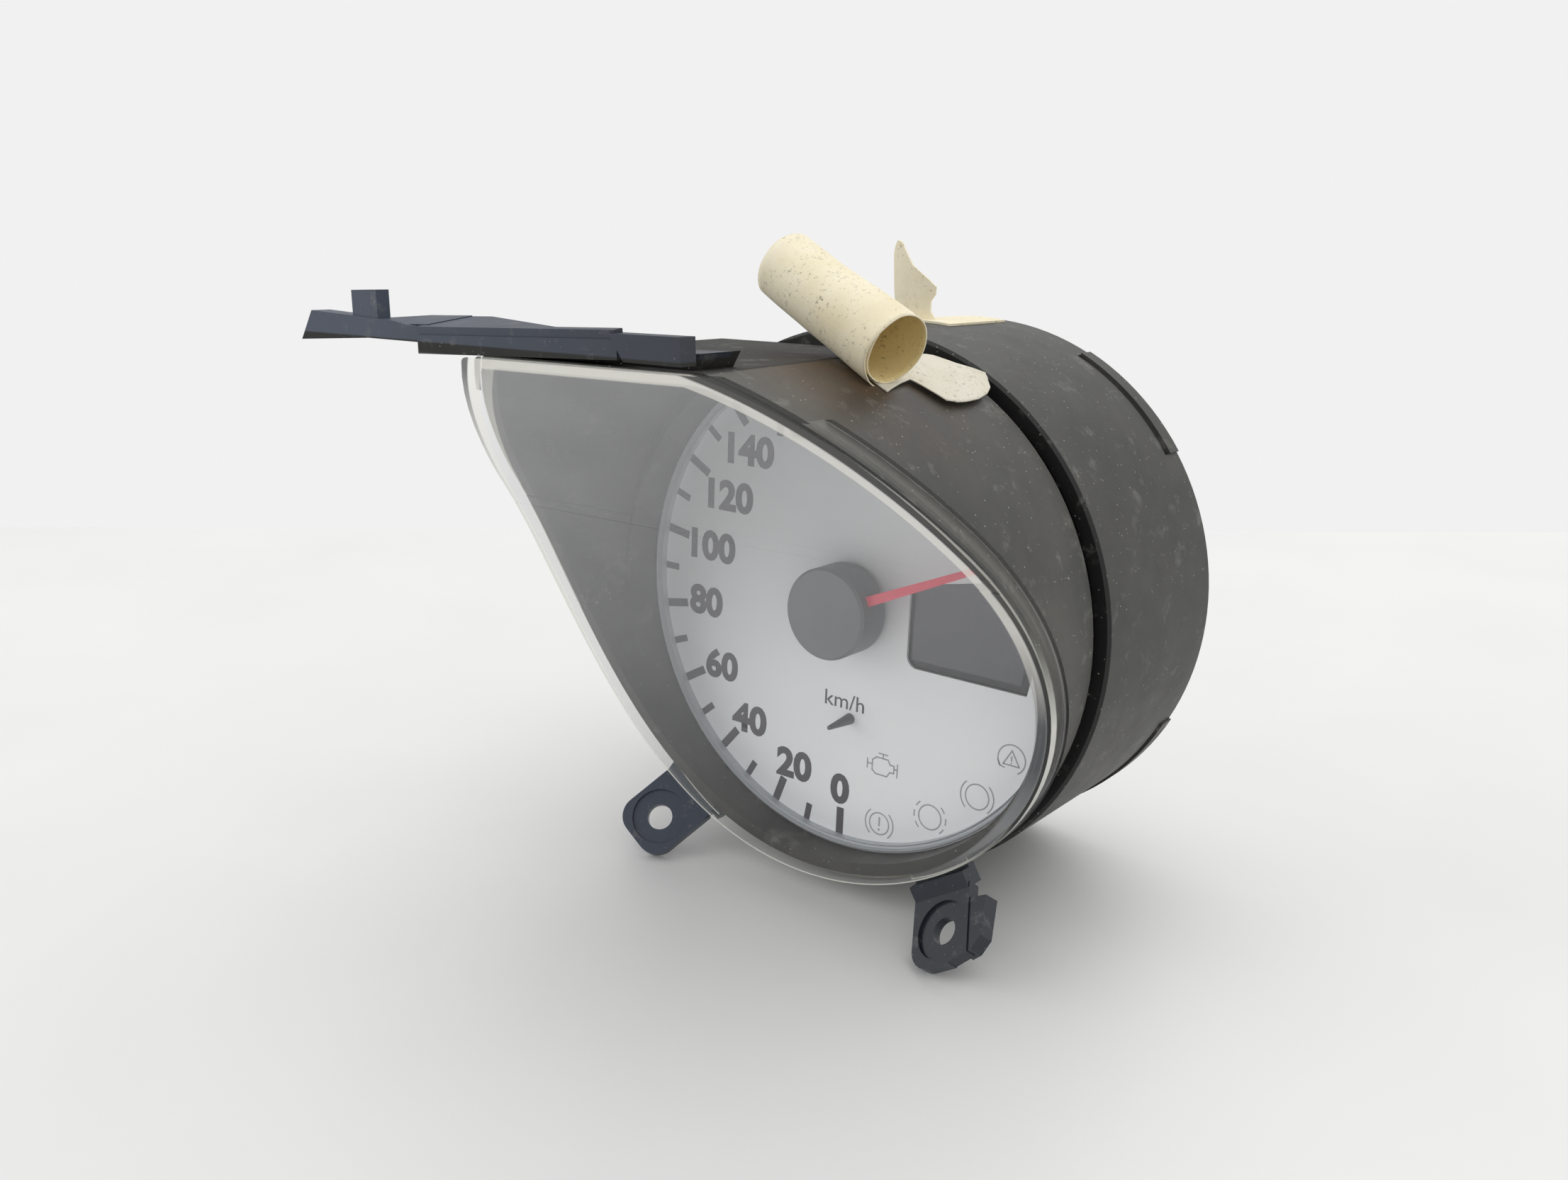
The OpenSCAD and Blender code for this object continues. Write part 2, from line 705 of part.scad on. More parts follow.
module light_box() {
  top = frame_z - frame_d - 0.05;
  color("#eceeed") seated() difference() {
    union() {
      difference() {
        union() {
          disc(box_r, floor_z, box_z);
          disc(cover_r, floor_z, flange_in_z);
        }
        disc(box_r - box_wall, floor_z + 2, 1);
      }
      cell(0, floor_z + 1, top);
      intersection() {
        union() {
          for (p = sign_at)
            translate([p[0], p[1], floor_z + 1])
              cylinder(r = chimney_r + chimney_wall, h = box_d - 1.1);
        }
        disc(box_r - 0.5, floor_z, box_z);
      }
      for (a = screw_ang)
        rotate([0, 0, a]) translate([screw_dist, 0, board_z])
          cylinder(r = screw_r + 2, h = board_off + 6);
    }
    cell(cell_wall, floor_z + 2, 1);
    disc(case_r + 0.3, floor_z - 1, 1);
    for (p = sign_at)
      translate([p[0], p[1], floor_z - 1]) cylinder(r = chimney_r, h = box_d + 4);
    for (a = lamp_ang)
      rotate([0, 0, a]) translate([lamp_dist, 0, floor_z - 1])
        cylinder(r = socket_r + 0.4, h = 4);
    for (a = screw_ang)
      rotate([0, 0, a]) translate([screw_dist, 0, board_z - 1])
        cylinder(r = screw_r + 0.05, h = board_off + 6);
    strip_hole(0.2, floor_z - 1, floor_z + 3);
    translate([lamp_at[5][0], glass_y, floor_z - 1]) cylinder(r = chimney_r, h = 4);
  }
}

module display_glass() {
  color("#3f4348") seated() translate([0, 0, -dial_t - 0.2 - glass_t]) glass_block(0, glass_t);
}

module display_frame() {
  z0 = frame_z - frame_d;
  color("#dfe1e0") seated() difference() {
    cell(0, z0, frame_z);
    cell(cell_wall + strip_t + 1.2, z0 - 1, 1);
    strip_hole(0.1, z0 - 1, 1);
  }
}

module contact_strips() {
  color("#8b8d90") seated() strip_hole(0, board_z + 0.02, frame_z + 0.03);
}

// ---- circuit board and what it carries ----
module circuit_board() {
  color("#3f6b4a") seated() difference() {
    disc(board_r, board_back, board_z);
    for (a = lamp_ang)
      rotate([0, 0, a]) translate([lamp_dist, 0, board_back - 1])
        cylinder(r = socket_r + 0.2, h = board_t + 2);
    for (a = screw_ang)
      rotate([0, 0, a]) translate([screw_dist, 0, board_back - 1])
        cylinder(r = screw_r + 0.3, h = board_t + 2);
    for (a = [45:90:315])
      rotate([0, 0, a]) translate([7, 0, board_back - 1]) cylinder(r = 0.5, h = board_t + 2);
    plug_pins(0.08, board_back - 1, board_z + 1);
  }
}

module board_screws() {
  color("#b9bcbe") seated() for (a = screw_ang)
    rotate([0, 0, a]) translate([screw_dist, 0, 0]) difference() {
      union() {
        disc(screw_r, board_back - 0.5, floor_z + 4.5);
        disc(screw_head_r, board_back - 2, board_back);
      }
      translate([0, 0, board_back - 2.5]) box(-2, 2, -0.35, 0.35, 0, 1.3);
      translate([0, 0, board_back - 2.5]) box(-0.35, 0.35, -2, 2, 0, 1.3);
    }
}

module lamp_sockets() {
  color("#d9d6cc") seated() for (a = lamp_ang)
    rotate([0, 0, a]) translate([lamp_dist, 0, 0]) difference() {
      union() {
        disc(socket_r + 1.4, board_back - 2.4, board_back);
        disc(socket_r, board_back - 1, floor_z + 3);
        translate([0, 0, board_back - 3.6]) box(-3.6, 3.6, -0.7, 0.7, 0, 1.8);
      }
      disc(lamp_r + 0.05, floor_z + 1, floor_z + 6);
    }
}

module lamps() {
  color("#f4f0e2", 0.7) seated() for (a = lamp_ang)
    rotate([0, 0, a]) translate([lamp_dist, 0, 0]) {
      disc(lamp_r, floor_z + 1, floor_z + 8);
      translate([0, 0, floor_z + 8]) sphere(r = lamp_r, $fn = 48);
    }
}

module board_lamps() {
  color("#f2f2ee") seated() for (p = lamp_at)
    translate([p[0], p[1], 0]) {
      box(-1.6, 1.6, -1.4, 1.4, board_z, board_z + 1);
      disc(1.1, board_z + 0.5, board_z + 1.5);
    }
}

module plug_pins(g, z0, z1) {
  for (i = [0:pin_n - 1])
    for (s = [-1, 1])
      translate([plug_x + s * 1.9 - pin_side / 2 - g,
        (i - (pin_n - 1) / 2) * 2.54 - pin_side / 2 - g, z0])
        cube([pin_side + 2 * g, pin_side + 2 * g, z1 - z0]);
}

module connector_shell() {
  z1 = -housing_rear + cover_in + 0.4;
  color("#1f2122") seated() difference() {
    union() {
      box(plug_x - plug_w / 2, plug_x + plug_w / 2, -plug_h / 2, plug_h / 2, z1, board_back);
      box(plug_x - plug_w / 2 - 1.5, plug_x + plug_w / 2 + 1.5, -plug_h / 2 - 1.5,
        plug_h / 2 + 1.5, board_back - 2, board_back);
    }
    box(plug_x - plug_w / 2 + plug_wall, plug_x + plug_w / 2 - plug_wall,
      -plug_h / 2 + plug_wall, plug_h / 2 - plug_wall, z1 - 1, board_back - 2.4);
    box(plug_x + plug_w / 2 - plug_wall - 1, plug_x + plug_w / 2 + 1, -3, 3, z1 - 1, z1 + 6);
    plug_pins(0.01, board_back - 3, board_back + 1);
  }
}

module connector_pins() {
  z1 = -housing_rear + cover_in + 9;
  color("#c9b46a") seated() plug_pins(0, z1, board_z + 0.8);
}

module driver_chip() {
  color("#26282a") seated() translate([-6, 18, board_back]) {
    box(-5, 5, -3.7, 3.7, -2.5, -0.1);
    for (i = [-4:4])
      for (s = [-1, 1])
        translate([i * 1.1 - 0.2, s * 4.2 - 1, -0.6]) cube([0.4, 2, 0.6]);
  }
}

module capacitors() {
  color("#2c4a7a") seated() for (p = [[-0.7, -0.17], [-0.26, -0.78]])
    translate([p[0] * board_r, p[1] * board_r, board_back - cap_h]) difference() {
      cylinder(r = cap_r, h = cap_h);
      translate([0, 0, cap_h - 1.3]) ring(cap_r - 0.2, cap_r + 1, 0, 0.6);
    }
}

// ---- movement with crossed coils ----
module movement_case() {
  color("#a9adae") seated() difference() {
    disc(case_r, board_z + 1.2, case_front + case_wall);
    disc(case_r - case_wall, board_z, case_front);
    disc(shaft_r + 0.6, 0 - 30, 10);
  }
}

module movement_cover() {
  color("#c7c3b4") seated() difference() {
    disc(case_r, board_z, board_z + 1.2);
    for (a = [45:90:315])
      rotate([0, 0, a]) translate([7, 0, board_z - 1]) cylinder(r = 0.42, h = 4);
  }
}

module movement_pins() {
  color("#c9b46a") seated() for (a = [45:90:315])
    rotate([0, 0, a]) translate([7, 0, 0]) disc(0.4, board_back - 1, board_z + 1.8);
}

module coil_bobbin() {
  color("#d8d2bd") seated() {
    h = bobbin_h / 2;
    difference() {
      disc(bobbin_r, mid_z - h, mid_z + h);
      disc(chamber_r, mid_z - chamber_h / 2, mid_z + chamber_h / 2);
      disc(bush_r + 0.01, mid_z - h + 0.4, mid_z + h + 1);
    }
    // four posts that stand the bobbin on the movement cover
    for (a = [45:90:315])
      rotate([0, 0, a]) translate([bobbin_r - 0.85, 0, 0]) difference() {
        disc(0.75, board_z + 1.2, mid_z - h + 0.5);
        translate([7.85 - bobbin_r, 0, board_z]) cylinder(r = 0.5, h = 2.6);
      }
  }
}

module shaft_bushes() {
  h = bobbin_h / 2;
  color("#b08d4a") seated() {
    ring(shaft_r + shaft_run, bush_r, mid_z + chamber_h / 2 + 0.02, mid_z + h + 1.2);
    ring(shaft_r + shaft_run, bush_r, mid_z - h + 0.42, mid_z - chamber_h / 2 - 0.02);
  }
}

module winding(x, z) {
  for (s = [-1, 1])
    translate([0, s * (split + coil_w / 2) + coil_w / 2, mid_z])
      rotate([90, 0, 0]) linear_extrude(height = coil_w) difference() {
        square([2 * (x + coil_t), 2 * (z + coil_t)], center = true);
        square([2 * x, 2 * z], center = true);
      }
}

module coil_a() {
  color("#a8562e") seated() winding(a_in_x, a_in_z);
}

module coil_b() {
  color("#b5622f") seated() rotate([0, 0, 90]) winding(b_in_x, b_in_z);
}

// ---- housing and cover ----
module slot_band(r0, r1, z0, z1, arc) {
  for (i = [0:slot_n - 1])
    rotate([0, 0, 90 - slot_at - i * 360 / slot_n - arc / 2])
      rotate_extrude(angle = arc) polygon([[r0, z0], [r1, z0], [r1, z1], [r0, z1]]);
}

module rear_housing() {
  z1 = -housing_rear;
  color("#4b4b48") seated() difference() {
    union() {
      rotate_extrude() polygon([[neck_r + collar_fit, -housing_front],
        [housing_r - 0.6, -housing_front], [housing_r, -housing_front - 0.6], [housing_r, z1],
        [housing_in, z1], [housing_in, flange_in_z], [collar_in - 0.1, flange_in_z],
        [collar_in - 0.1, ledge_z], [neck_r + collar_fit, ledge_z]]);
      slot_band(housing_r - 0.5, housing_r + bridge_h, z1, z1 + slot_in - slot_w / 2 - 0.2,
        slot_arc);
    }
    slot_band(housing_in - 1, housing_r + 2, z1 + slot_in - slot_w / 2,
      z1 + slot_in + slot_w / 2, slot_arc);
  }
}

module rear_cover() {
  z1 = -housing_rear + cover_in;
  zs = -housing_rear + slot_in;
  color("#e6e6e2") seated() difference() {
    union() {
      disc(cover_r, z1, cover_z);
      ring(cover_r - cover_rim, cover_r, cover_z - 0.5, floor_z - 0.02);
      slot_band(cover_r - 0.5, housing_in + 1.3, zs - slot_w / 2 + 0.12,
        zs + slot_w / 2 - 0.12, slot_arc - 4);
    }
    box(plug_x - plug_w / 2 - 0.4, plug_x + plug_w / 2 + 0.4, -plug_h / 2 - 0.4,
      plug_h / 2 + 0.4, z1 - 1, cover_z + 1);
  }
}

// ---- paper ----
roll_dir = unit([0.912, -0.408, 0.189]);
roll_near = roll_dir
  + concat((hood_r(29.5) + roll_r + 0.35) * [cos(63.6), sin(63.6)], [29.5]);

module paper_label() {
  n = 60;
  turns = 1.3;
  color("#e6dcb8") seated() {
    translate(roll_near - roll_dir * roll_len)
      rotate(a = acos(roll_dir[2]), v = cross([0, 0, 1], roll_dir))
        linear_extrude(height = roll_len)
          polygon(concat(
            [for (i = [0:n]) let (a = -110 - 360 * turns * i / n, r = roll_r - 1.2 * i / n)
              [r * cos(a), r * sin(a)]],
            [for (i = [n:-1:0]) let (a = -110 - 360 * turns * i / n,
              r = roll_r - paper_t - 1.2 * i / n) [r * cos(a), r * sin(a)]]));
    // tongue still stuck to the hood, cut to its torn outline
    intersection() {
      rotate([0, 0, 55]) rotate_extrude(angle = 20)
        polygon([[hood_r(31) + 0.03, 31], [hood_r(31) + paper_t, 31],
          [hood_r(1) + paper_t, 1], [hood_r(1) + 0.03, 1]]);
      rotate([0, 0, 64]) rotate([90, 0, 90]) linear_extrude(height = far)
        polygon([[-7.8, 16], [-5.8, 20.5], [-1.8, 24.6], [-1.2, 40], [5.5, 40],
          [7.2, 7], [-4.6, 1.4]]);
    }
  }
}

module label_scrap() {
  r = housing_r + 0.03;
  h = flap_h / 15;
  color("#e6dcb8") seated() {
    rotate([0, 0, 84]) rotate_extrude(angle = 15)
      polygon([[r, -45], [r + paper_t, -45], [r + paper_t, -22], [r, -22]]);
    // torn flap standing up from the front of the strip
    intersection() {
      translate([-3.8, r - 3, -38]) rotate([-90, 0, 0]) ring(13, 13 + paper_t, 0, 30);
      translate([-9.3, r + 0.12, -60]) linear_extrude(height = 50)
        polygon([[0, 0], [-1.5, 5 * h], [-2.5, 12 * h], [-2.2, 13.6 * h], [-1.2, 14.9 * h],
          [0.3, 14.6 * h], [2, 12.6 * h], [3.8, 10.4 * h], [7.8, 7.9 * h], [9.4, 6.6 * h],
          [9.4, 5.2 * h], [8.5, 3.8 * h], [8.6, 1.8 * h], [10, 0]]);
      translate([-30, 0, -36]) cube([60, 100, 20]);
    }
  }
}

front_shroud();
lens();
dial_ring();
dial_plate();
stop_pin();
hub_cap();
needle();
pointer_shaft();
rotor_magnet();
light_guide();
light_box();
display_glass();
display_frame();
contact_strips();
circuit_board();
movement_case();
movement_cover();
coil_bobbin();
coil_a();
coil_b();
shaft_bushes();
movement_pins();
lamp_sockets();
lamps();
board_lamps();
connector_shell();
connector_pins();
driver_chip();
capacitors();
rear_housing();
rear_cover();
board_screws();
paper_label();
label_scrap();
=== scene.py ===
"""Looks for the car speedometer: materials for every solid, the print on the dial,
the curled paper label, a pale table and soft studio light."""

import json
import math
from functools import partial

import bmesh
import bpy
from mathutils import Matrix, Vector, noise


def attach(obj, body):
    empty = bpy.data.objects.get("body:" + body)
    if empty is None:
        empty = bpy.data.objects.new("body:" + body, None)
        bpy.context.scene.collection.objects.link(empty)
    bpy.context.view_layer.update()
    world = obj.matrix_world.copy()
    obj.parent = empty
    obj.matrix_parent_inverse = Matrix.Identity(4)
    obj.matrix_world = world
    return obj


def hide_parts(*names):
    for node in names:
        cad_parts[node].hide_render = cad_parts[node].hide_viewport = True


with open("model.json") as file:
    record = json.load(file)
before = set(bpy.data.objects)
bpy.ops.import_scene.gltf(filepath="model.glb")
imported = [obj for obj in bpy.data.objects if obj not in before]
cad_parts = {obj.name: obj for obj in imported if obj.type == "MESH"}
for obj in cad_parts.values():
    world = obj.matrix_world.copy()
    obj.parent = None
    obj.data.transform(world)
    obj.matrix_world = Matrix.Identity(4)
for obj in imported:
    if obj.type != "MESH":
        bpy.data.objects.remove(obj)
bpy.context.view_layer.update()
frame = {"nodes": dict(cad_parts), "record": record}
nodes = frame["nodes"]

MM = 0.001

# the dial's own space
# Drawings are made in millimetres about the dial: x to three o'clock, y to twelve, z outwards.
pointer_joint = frame["record"]["behaviour"]["joints"][0]
DIAL_CENTRE = Vector(pointer_joint["pos_m"])
DIAL_OUT = -Vector(pointer_joint["axis"])
# the wiring socket lies straight to the right of the dial's centre, seen along its axis
socket_at = next(Vector(m["pos_m"]) for m in frame["record"]["mounts"]
                 if m["name"] == "wiring_socket")
DIAL_RIGHT = socket_at - DIAL_CENTRE
DIAL_RIGHT = (DIAL_RIGHT - DIAL_OUT * DIAL_RIGHT.dot(DIAL_OUT)).normalized()
DIAL_UP = DIAL_OUT.cross(DIAL_RIGHT)
DIAL_TURN = Matrix((DIAL_RIGHT, DIAL_UP, DIAL_OUT)).transposed().to_4x4()
DIAL_SPACE = Matrix.Translation(DIAL_CENTRE) @ DIAL_TURN @ Matrix.Scale(MM, 4)

# sizes of the dial and hood, in millimetres, as in the part's source
DIAL_R = 50.2
HOOD_R, HOOD_BACK, HOOD_DRAFT = 54.0, 1.5, 0.027    # the hood widens from its back by the draft
TOP_SLOPE = 0.0279                  # the flat top falls 1.6 degrees to the left
FLAT_TOP = 52.3                     # just under the face of the flat top
EAR_OUT, EAR_TOP = 55.6, -36.5      # the ears lie outside this radius and below this height
# the flange lies above this height, in front of this depth and left of this place
FLANGE_LOW, FLANGE_BACK, FLANGE_RIGHT = 54.15, 58.5, 20.45
# the lens's outline: round, with a larger corner at the upper left and a flat top
RIM_R, RIM_TOP = 55.7, 53.25
CORNER_R, CORNER_X, CORNER_Y = 65.1, 9.5, 0.8
# the lens's face: an arc up to a height, then straight at 45 degrees, all leaning to the right
FACE_R, FACE_DOWN, FACE_OUT = 110.6, 54.7, 121.1
FACE_FLAT_FROM, FACE_LEAN = 23.5, -0.055
# the display's window: right of, above and inside these
WINDOW_LEFT, WINDOW_LOW, WINDOW_R = 13.2, -9.8, 41.4
BROWN_PATCH_AT = (16.0, 50.0, 33.0)        # the middle of a brown patch round the label


# small helpers
def linear(code):
    """A hex colour as written on paper, as the linear colour that a shader takes."""
    channels = [int(code[i:i + 2], 16) / 255 for i in (1, 3, 5)]
    return tuple(c / 12.92 if c <= 0.04045 else ((c + 0.055) / 1.055) ** 2.4
                 for c in channels) + (1.0,)


def plug(node, inputs):
    """Fills a node's inputs. Each is a value, a hex colour, a node whose result is linked, or a
    (node, output name) pair."""
    for name, value in inputs.items():
        socket = node.inputs[name]
        if isinstance(value, bpy.types.Node):
            result = next(out for out in value.outputs if out.enabled)
            node.id_data.links.new(result, socket)
        elif isinstance(value, tuple) and isinstance(value[0], bpy.types.Node):
            node.id_data.links.new(value[0].outputs[value[1]], socket)
        else:
            socket.default_value = linear(value) if isinstance(value, str) else value


def add_node(tree, kind, inputs=None, stops=(), **settings):
    """Adds a node with its settings and links. A ramp's stops are places, each with a hex colour
    or a grey value."""
    made = tree.nodes.new("ShaderNode" + kind)
    for name, value in settings.items():
        setattr(made, name, value)
    for number, (place, colour) in enumerate(stops):
        element = made.color_ramp.elements[number]
        element.position = place
        element.color = linear(colour) if isinstance(colour, str) else (colour,) * 3 + (1,)
    plug(made, inputs or {})
    return made


def new_material(name, **surface):
    """A material with one Principled surface. Returns it with its tree and that surface."""
    made = bpy.data.materials.new(name)
    made.use_nodes = True
    tree = made.node_tree
    shader = tree.nodes["Principled BSDF"]
    plug(shader, {socket.replace("_", " "): value for socket, value in surface.items()})
    return made, tree, shader


def dial_space(tree):
    """Object coordinates turned into dial space: millimetres from the dial's centre."""
    moved = DIAL_SPACE.inverted()
    return add_node(tree, "Mapping", {
        "Vector": (add_node(tree, "TexCoord"), "Object"),
        "Location": moved.to_translation(),
        "Rotation": moved.to_euler("XYZ"),
        "Scale": (1 / MM,) * 3,
    }, vector_type="POINT")


def patches(tree, where, size_mm, stops, detail=2.0, rough=0.5):
    """Cloudy patches about size_mm across, shaded by stops."""
    cloud = add_node(tree, "TexNoise", {
        "Vector": where, "Scale": 1 / size_mm, "Detail": detail, "Roughness": rough})
    return add_node(tree, "ValToRGB", {"Fac": cloud}, stops)


def unevenness(tree, where, size_mm, strength, depth_mm, detail=2.0, rough=0.5):
    """Tilts a surface as if grains about size_mm across rose and fell by depth_mm."""
    cloud = add_node(tree, "TexNoise", {
        "Vector": where, "Scale": 1 / size_mm, "Detail": detail, "Roughness": rough})
    return add_node(tree, "Bump", {
        "Height": cloud, "Strength": strength, "Distance": depth_mm * MM})


def zone(tree, *limits):
    """A mask that is 1 where every value has passed its limit. A limit is a value, the place up
    to which it counts 0 and the place from which it counts 1. Other masks and numbers among the
    limits are multiplied in."""
    whole = None
    for limit in limits:
        if isinstance(limit, tuple) and len(limit) == 3:
            value, low, high = limit
            limit = add_node(tree, "MapRange", {
                "Value": value, "From Min": low, "From Max": high})
        whole = limit if whole is None else add_node(
            tree, "Math", {0: whole, 1: limit}, operation="MULTIPLY")
    return whole


def coats(tree, tone, *layers):
    """Lays coats of colour over a tone, each a mask with its colour."""
    for mask, colour in layers:
        tone = add_node(tree, "Mix", {"Factor": mask, 6: tone, 7: colour}, data_type="RGBA")
    return tone


def axis_distance(tree, across, up):
    """How far a point lies from an axis that it lies so far across from and so far above."""
    squares = [add_node(tree, "Math", {0: side, 1: 2.0}, operation="POWER")
               for side in (across, up)]
    total = add_node(tree, "Math", dict(enumerate(squares)), operation="ADD")
    return add_node(tree, "Math", {0: total}, operation="SQRT")


def dress(node_name, material):
    """Gives a solid of the part its material."""
    target = nodes[node_name]
    target.data.materials.clear()
    target.data.materials.append(material)


def finish_piece(piece, material, body):
    """Puts a new piece on its body with its material."""
    piece.data.materials.clear()
    piece.data.materials.append(material)
    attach(piece, body)
    return piece


def mesh_piece(name, shape, smooth=None):
    """Turns a finished bmesh into an object at the origin, smooth below an angle if given."""
    data = bpy.data.meshes.new(name)
    shape.to_mesh(data)
    shape.free()
    piece = bpy.data.objects.new(name, data)
    bpy.context.collection.objects.link(piece)
    if smooth is not None:
        data.shade_smooth()
        data.set_sharp_from_angle(angle=math.radians(smooth))
    return piece


# materials
def hood_parts(tree, where):
    """Masks for the parts of the hood, by name."""
    spot = add_node(tree, "SeparateXYZ", {"Vector": where})
    x, y, z = ((spot, axis) for axis in "XYZ")
    out = axis_distance(tree, x, y)
    height = add_node(tree, "Math", {0: x, 1: -TOP_SLOPE, 2: y}, operation="MULTIPLY_ADD")
    ears = zone(tree, (out, EAR_OUT - 0.1, EAR_OUT + 0.1), (y, EAR_TOP + 0.5, EAR_TOP - 0.5))
    flange = zone(tree, (height, FLANGE_LOW - 0.15, FLANGE_LOW + 0.15),
                  (z, FLANGE_BACK - 0.5, FLANGE_BACK + 0.5),
                  (x, FLANGE_RIGHT + 0.15, FLANGE_RIGHT - 0.15))
    label = add_node(tree, "VectorMath", {0: where, 1: BROWN_PATCH_AT}, operation="DISTANCE")
    return {
        "smooth": add_node(tree, "Math", {0: ears, 1: flange}, operation="MAXIMUM"),
        "collar": zone(tree, (z, HOOD_BACK - 0.05, HOOD_BACK - 0.15)),
        "brown_patch": zone(tree, ((label, "Value"), 30.0, 10.0)),
        # how far to the right: painted shade, darker towards the right on the ears and flange
        "right": zone(tree, (x, -60.0, 30.0)),
        "flat": zone(tree, (height, FLAT_TOP - 0.1, FLAT_TOP + 0.1)),
    }


def moulded_black(name, colour, worn, roughness, hood=False):
    """Black ABS from a spark-eroded mould: fine grain, a dusty film and pale dust specks."""
    made, tree, shader = new_material(name, IOR=1.53, Specular_IOR_Level=0.38)
    node = partial(add_node, tree)
    where = dial_space(tree)
    film = node("TexNoise", {"Vector": where, "Scale": 1 / 22, "Detail": 5, "Roughness": 0.62})
    tone = node("ValToRGB", {"Fac": film}, [(0.32, colour), (0.72, worn)])
    # dust grains of about 0.25 mm, each in a cell of 1.2 mm, many cells left empty
    cells = node("TexVoronoi", {"Vector": where, "Scale": 1 / 1.2})
    chance = node("SeparateColor", {"Color": (cells, "Color")})
    fleck = zone(tree,
                 node("ValToRGB", {"Fac": (cells, "Distance")}, [(0.07, 1.0), (0.15, 0.0)]),
                 node("ValToRGB", {"Fac": (chance, "Red")}, [(0.4, 0.0), (0.95, 1.0)]))
    cloud = node("TexNoise", {"Vector": where, "Scale": 1 / 9, "Detail": 4, "Roughness": 0.6})
    shine = node("MapRange", {
        "Value": cloud, "To Min": roughness - 0.08, "To Max": roughness + 0.1})
    if hood:
        part = hood_parts(tree, where)
        fleck = zone(tree, fleck, node(
            "Math", {0: part["smooth"], 1: -0.7, 2: 1.0}, operation="MULTIPLY_ADD"))
        # ears and flange are smoother, and painted a cool blue shade that darkens to the right;
        # the collar in the groove is glossy, painted near black partly for the shade in the
        # groove
        tone = coats(tree, tone,
                     # a brown patch in cloudy spots round the label
                     (zone(tree, part["brown_patch"], (film, 0.3, 0.5), 0.8), "#4a3725"),
                     (zone(tree, part["flat"], 0.8), "#131312"),
                     (part["smooth"], coats(tree, "#3d4554", (part["right"], "#262a33"))),
                     (part["collar"], "#0d0d0e"))
        for mask, change in (("smooth", -0.22), ("collar", -0.25), ("flat", 0.3)):
            shine = node("Math", {0: part[mask], 1: change, 2: shine}, operation="MULTIPLY_ADD")
    else:
        # painted shade: the housing's front edge, in the groove, is darkened
        spot = node("SeparateXYZ", {"Vector": where})
        tone = coats(tree, tone, (zone(tree, ((spot, "Z"), -2.5, -2.2)), "#121212"))
    # dried smudges of a few millimetres
    smudge = patches(tree, where, 6, [(0.57, 0.0), (0.72, 0.4)], detail=6, rough=0.7)
    plug(shader, {
        "Base Color": coats(tree, tone, (smudge, "#85847d"), (fleck, "#a5a195")),
        "Roughness": shine,
        # the mould's grain is 0.35 mm, drawn a little coarser than life so that it shows
        "Normal": unevenness(tree, where, 0.55, 0.35, 0.05, detail=3, rough=0.6)})
    return made


def plain_plastic(name, colour, shade, roughness, patch_mm=6):
    """Moulded plastic with a soft change of tone and a faint moulded unevenness."""
    made, tree, shader = new_material(name, Roughness=roughness, IOR=1.5)
    where = dial_space(tree)
    plug(shader, {
        "Base Color": patches(tree, where, patch_mm, [(0.3, colour), (0.75, shade)], detail=4),
        "Normal": unevenness(tree, where, 0.7, 0.15, 0.04)})
    return made


def silver_ring():
    """Silver-painted ABS: a painted highlight along the crest, and a slope down to the dial kept
    duller as painted shade.
    """
    made, tree, shader = new_material("ring_silver_paint", Roughness=0.28, Metallic=0.1)
    where = dial_space(tree)
    spot = add_node(tree, "SeparateXYZ", {"Vector": where})
    out = axis_distance(tree, (spot, "X"), (spot, "Y"))
    cloud = add_node(tree, "TexNoise", {"Vector": where, "Scale": 1 / 5, "Detail": 3})
    # the white band near the ring's outer edge is the painted highlight on its crest
    plug(shader, {"Base Color": coats(
        tree, "#b9bdc1", (cloud, "#aeb2b6"), (zone(tree, (out, 51.0, 51.3)), "#ffffff"))})
    return made


def bare_metal(name, colour, shade, roughness, stretch=(1, 1, 14), size_mm=1.2):
    """Drawn or turned metal with fine streaks."""
    made, tree, shader = new_material(name, Metallic=1.0, Roughness=roughness)
    pulled = add_node(tree, "Mapping", {"Vector": dial_space(tree), "Scale": stretch})
    streak = add_node(tree, "TexNoise", {"Vector": pulled, "Scale": 1 / size_mm, "Detail": 3})
    plug(shader, {
        "Base Color": add_node(
            tree, "ValToRGB", {"Fac": streak}, [(0.3, colour), (0.75, shade)]),
        "Normal": add_node(
            tree, "Bump", {"Height": streak, "Strength": 0.12, "Distance": 0.02 * MM})})
    return made


def rim_distance(tree, x, y):
    """Millimetres from a point of the lens in to its outline, as the hood is drawn."""
    node = partial(add_node, tree)
    # the flat top and the corner stand in a frame turned by the top's slope
    turned_x = node("Math", {0: y, 1: TOP_SLOPE, 2: x}, operation="MULTIPLY_ADD")
    turned_y = node("Math", {0: x, 1: -TOP_SLOPE, 2: y}, operation="MULTIPLY_ADD")
    round_part = node("Math", {0: RIM_R, 1: axis_distance(tree, x, y)}, operation="SUBTRACT")
    from_corner = axis_distance(
        tree, node("Math", {0: turned_x, 1: CORNER_X}, operation="SUBTRACT"),
        node("Math", {0: turned_y, 1: CORNER_Y}, operation="SUBTRACT"))
    corner = node("Math", {0: CORNER_R, 1: from_corner}, operation="SUBTRACT")
    left = zone(tree, (turned_x, 0.1, -0.1), (turned_y, -5.0, -4.6))
    right = node("Math", {0: 1.0, 1: left}, operation="SUBTRACT")
    side = node("Math", {0: zone(tree, corner, left), 1: zone(tree, round_part, right)},
                operation="ADD")
    below_top = node("Math", {0: RIM_TOP, 1: turned_y}, operation="SUBTRACT")
    return node("Math", {0: side, 1: below_top}, operation="MINIMUM")


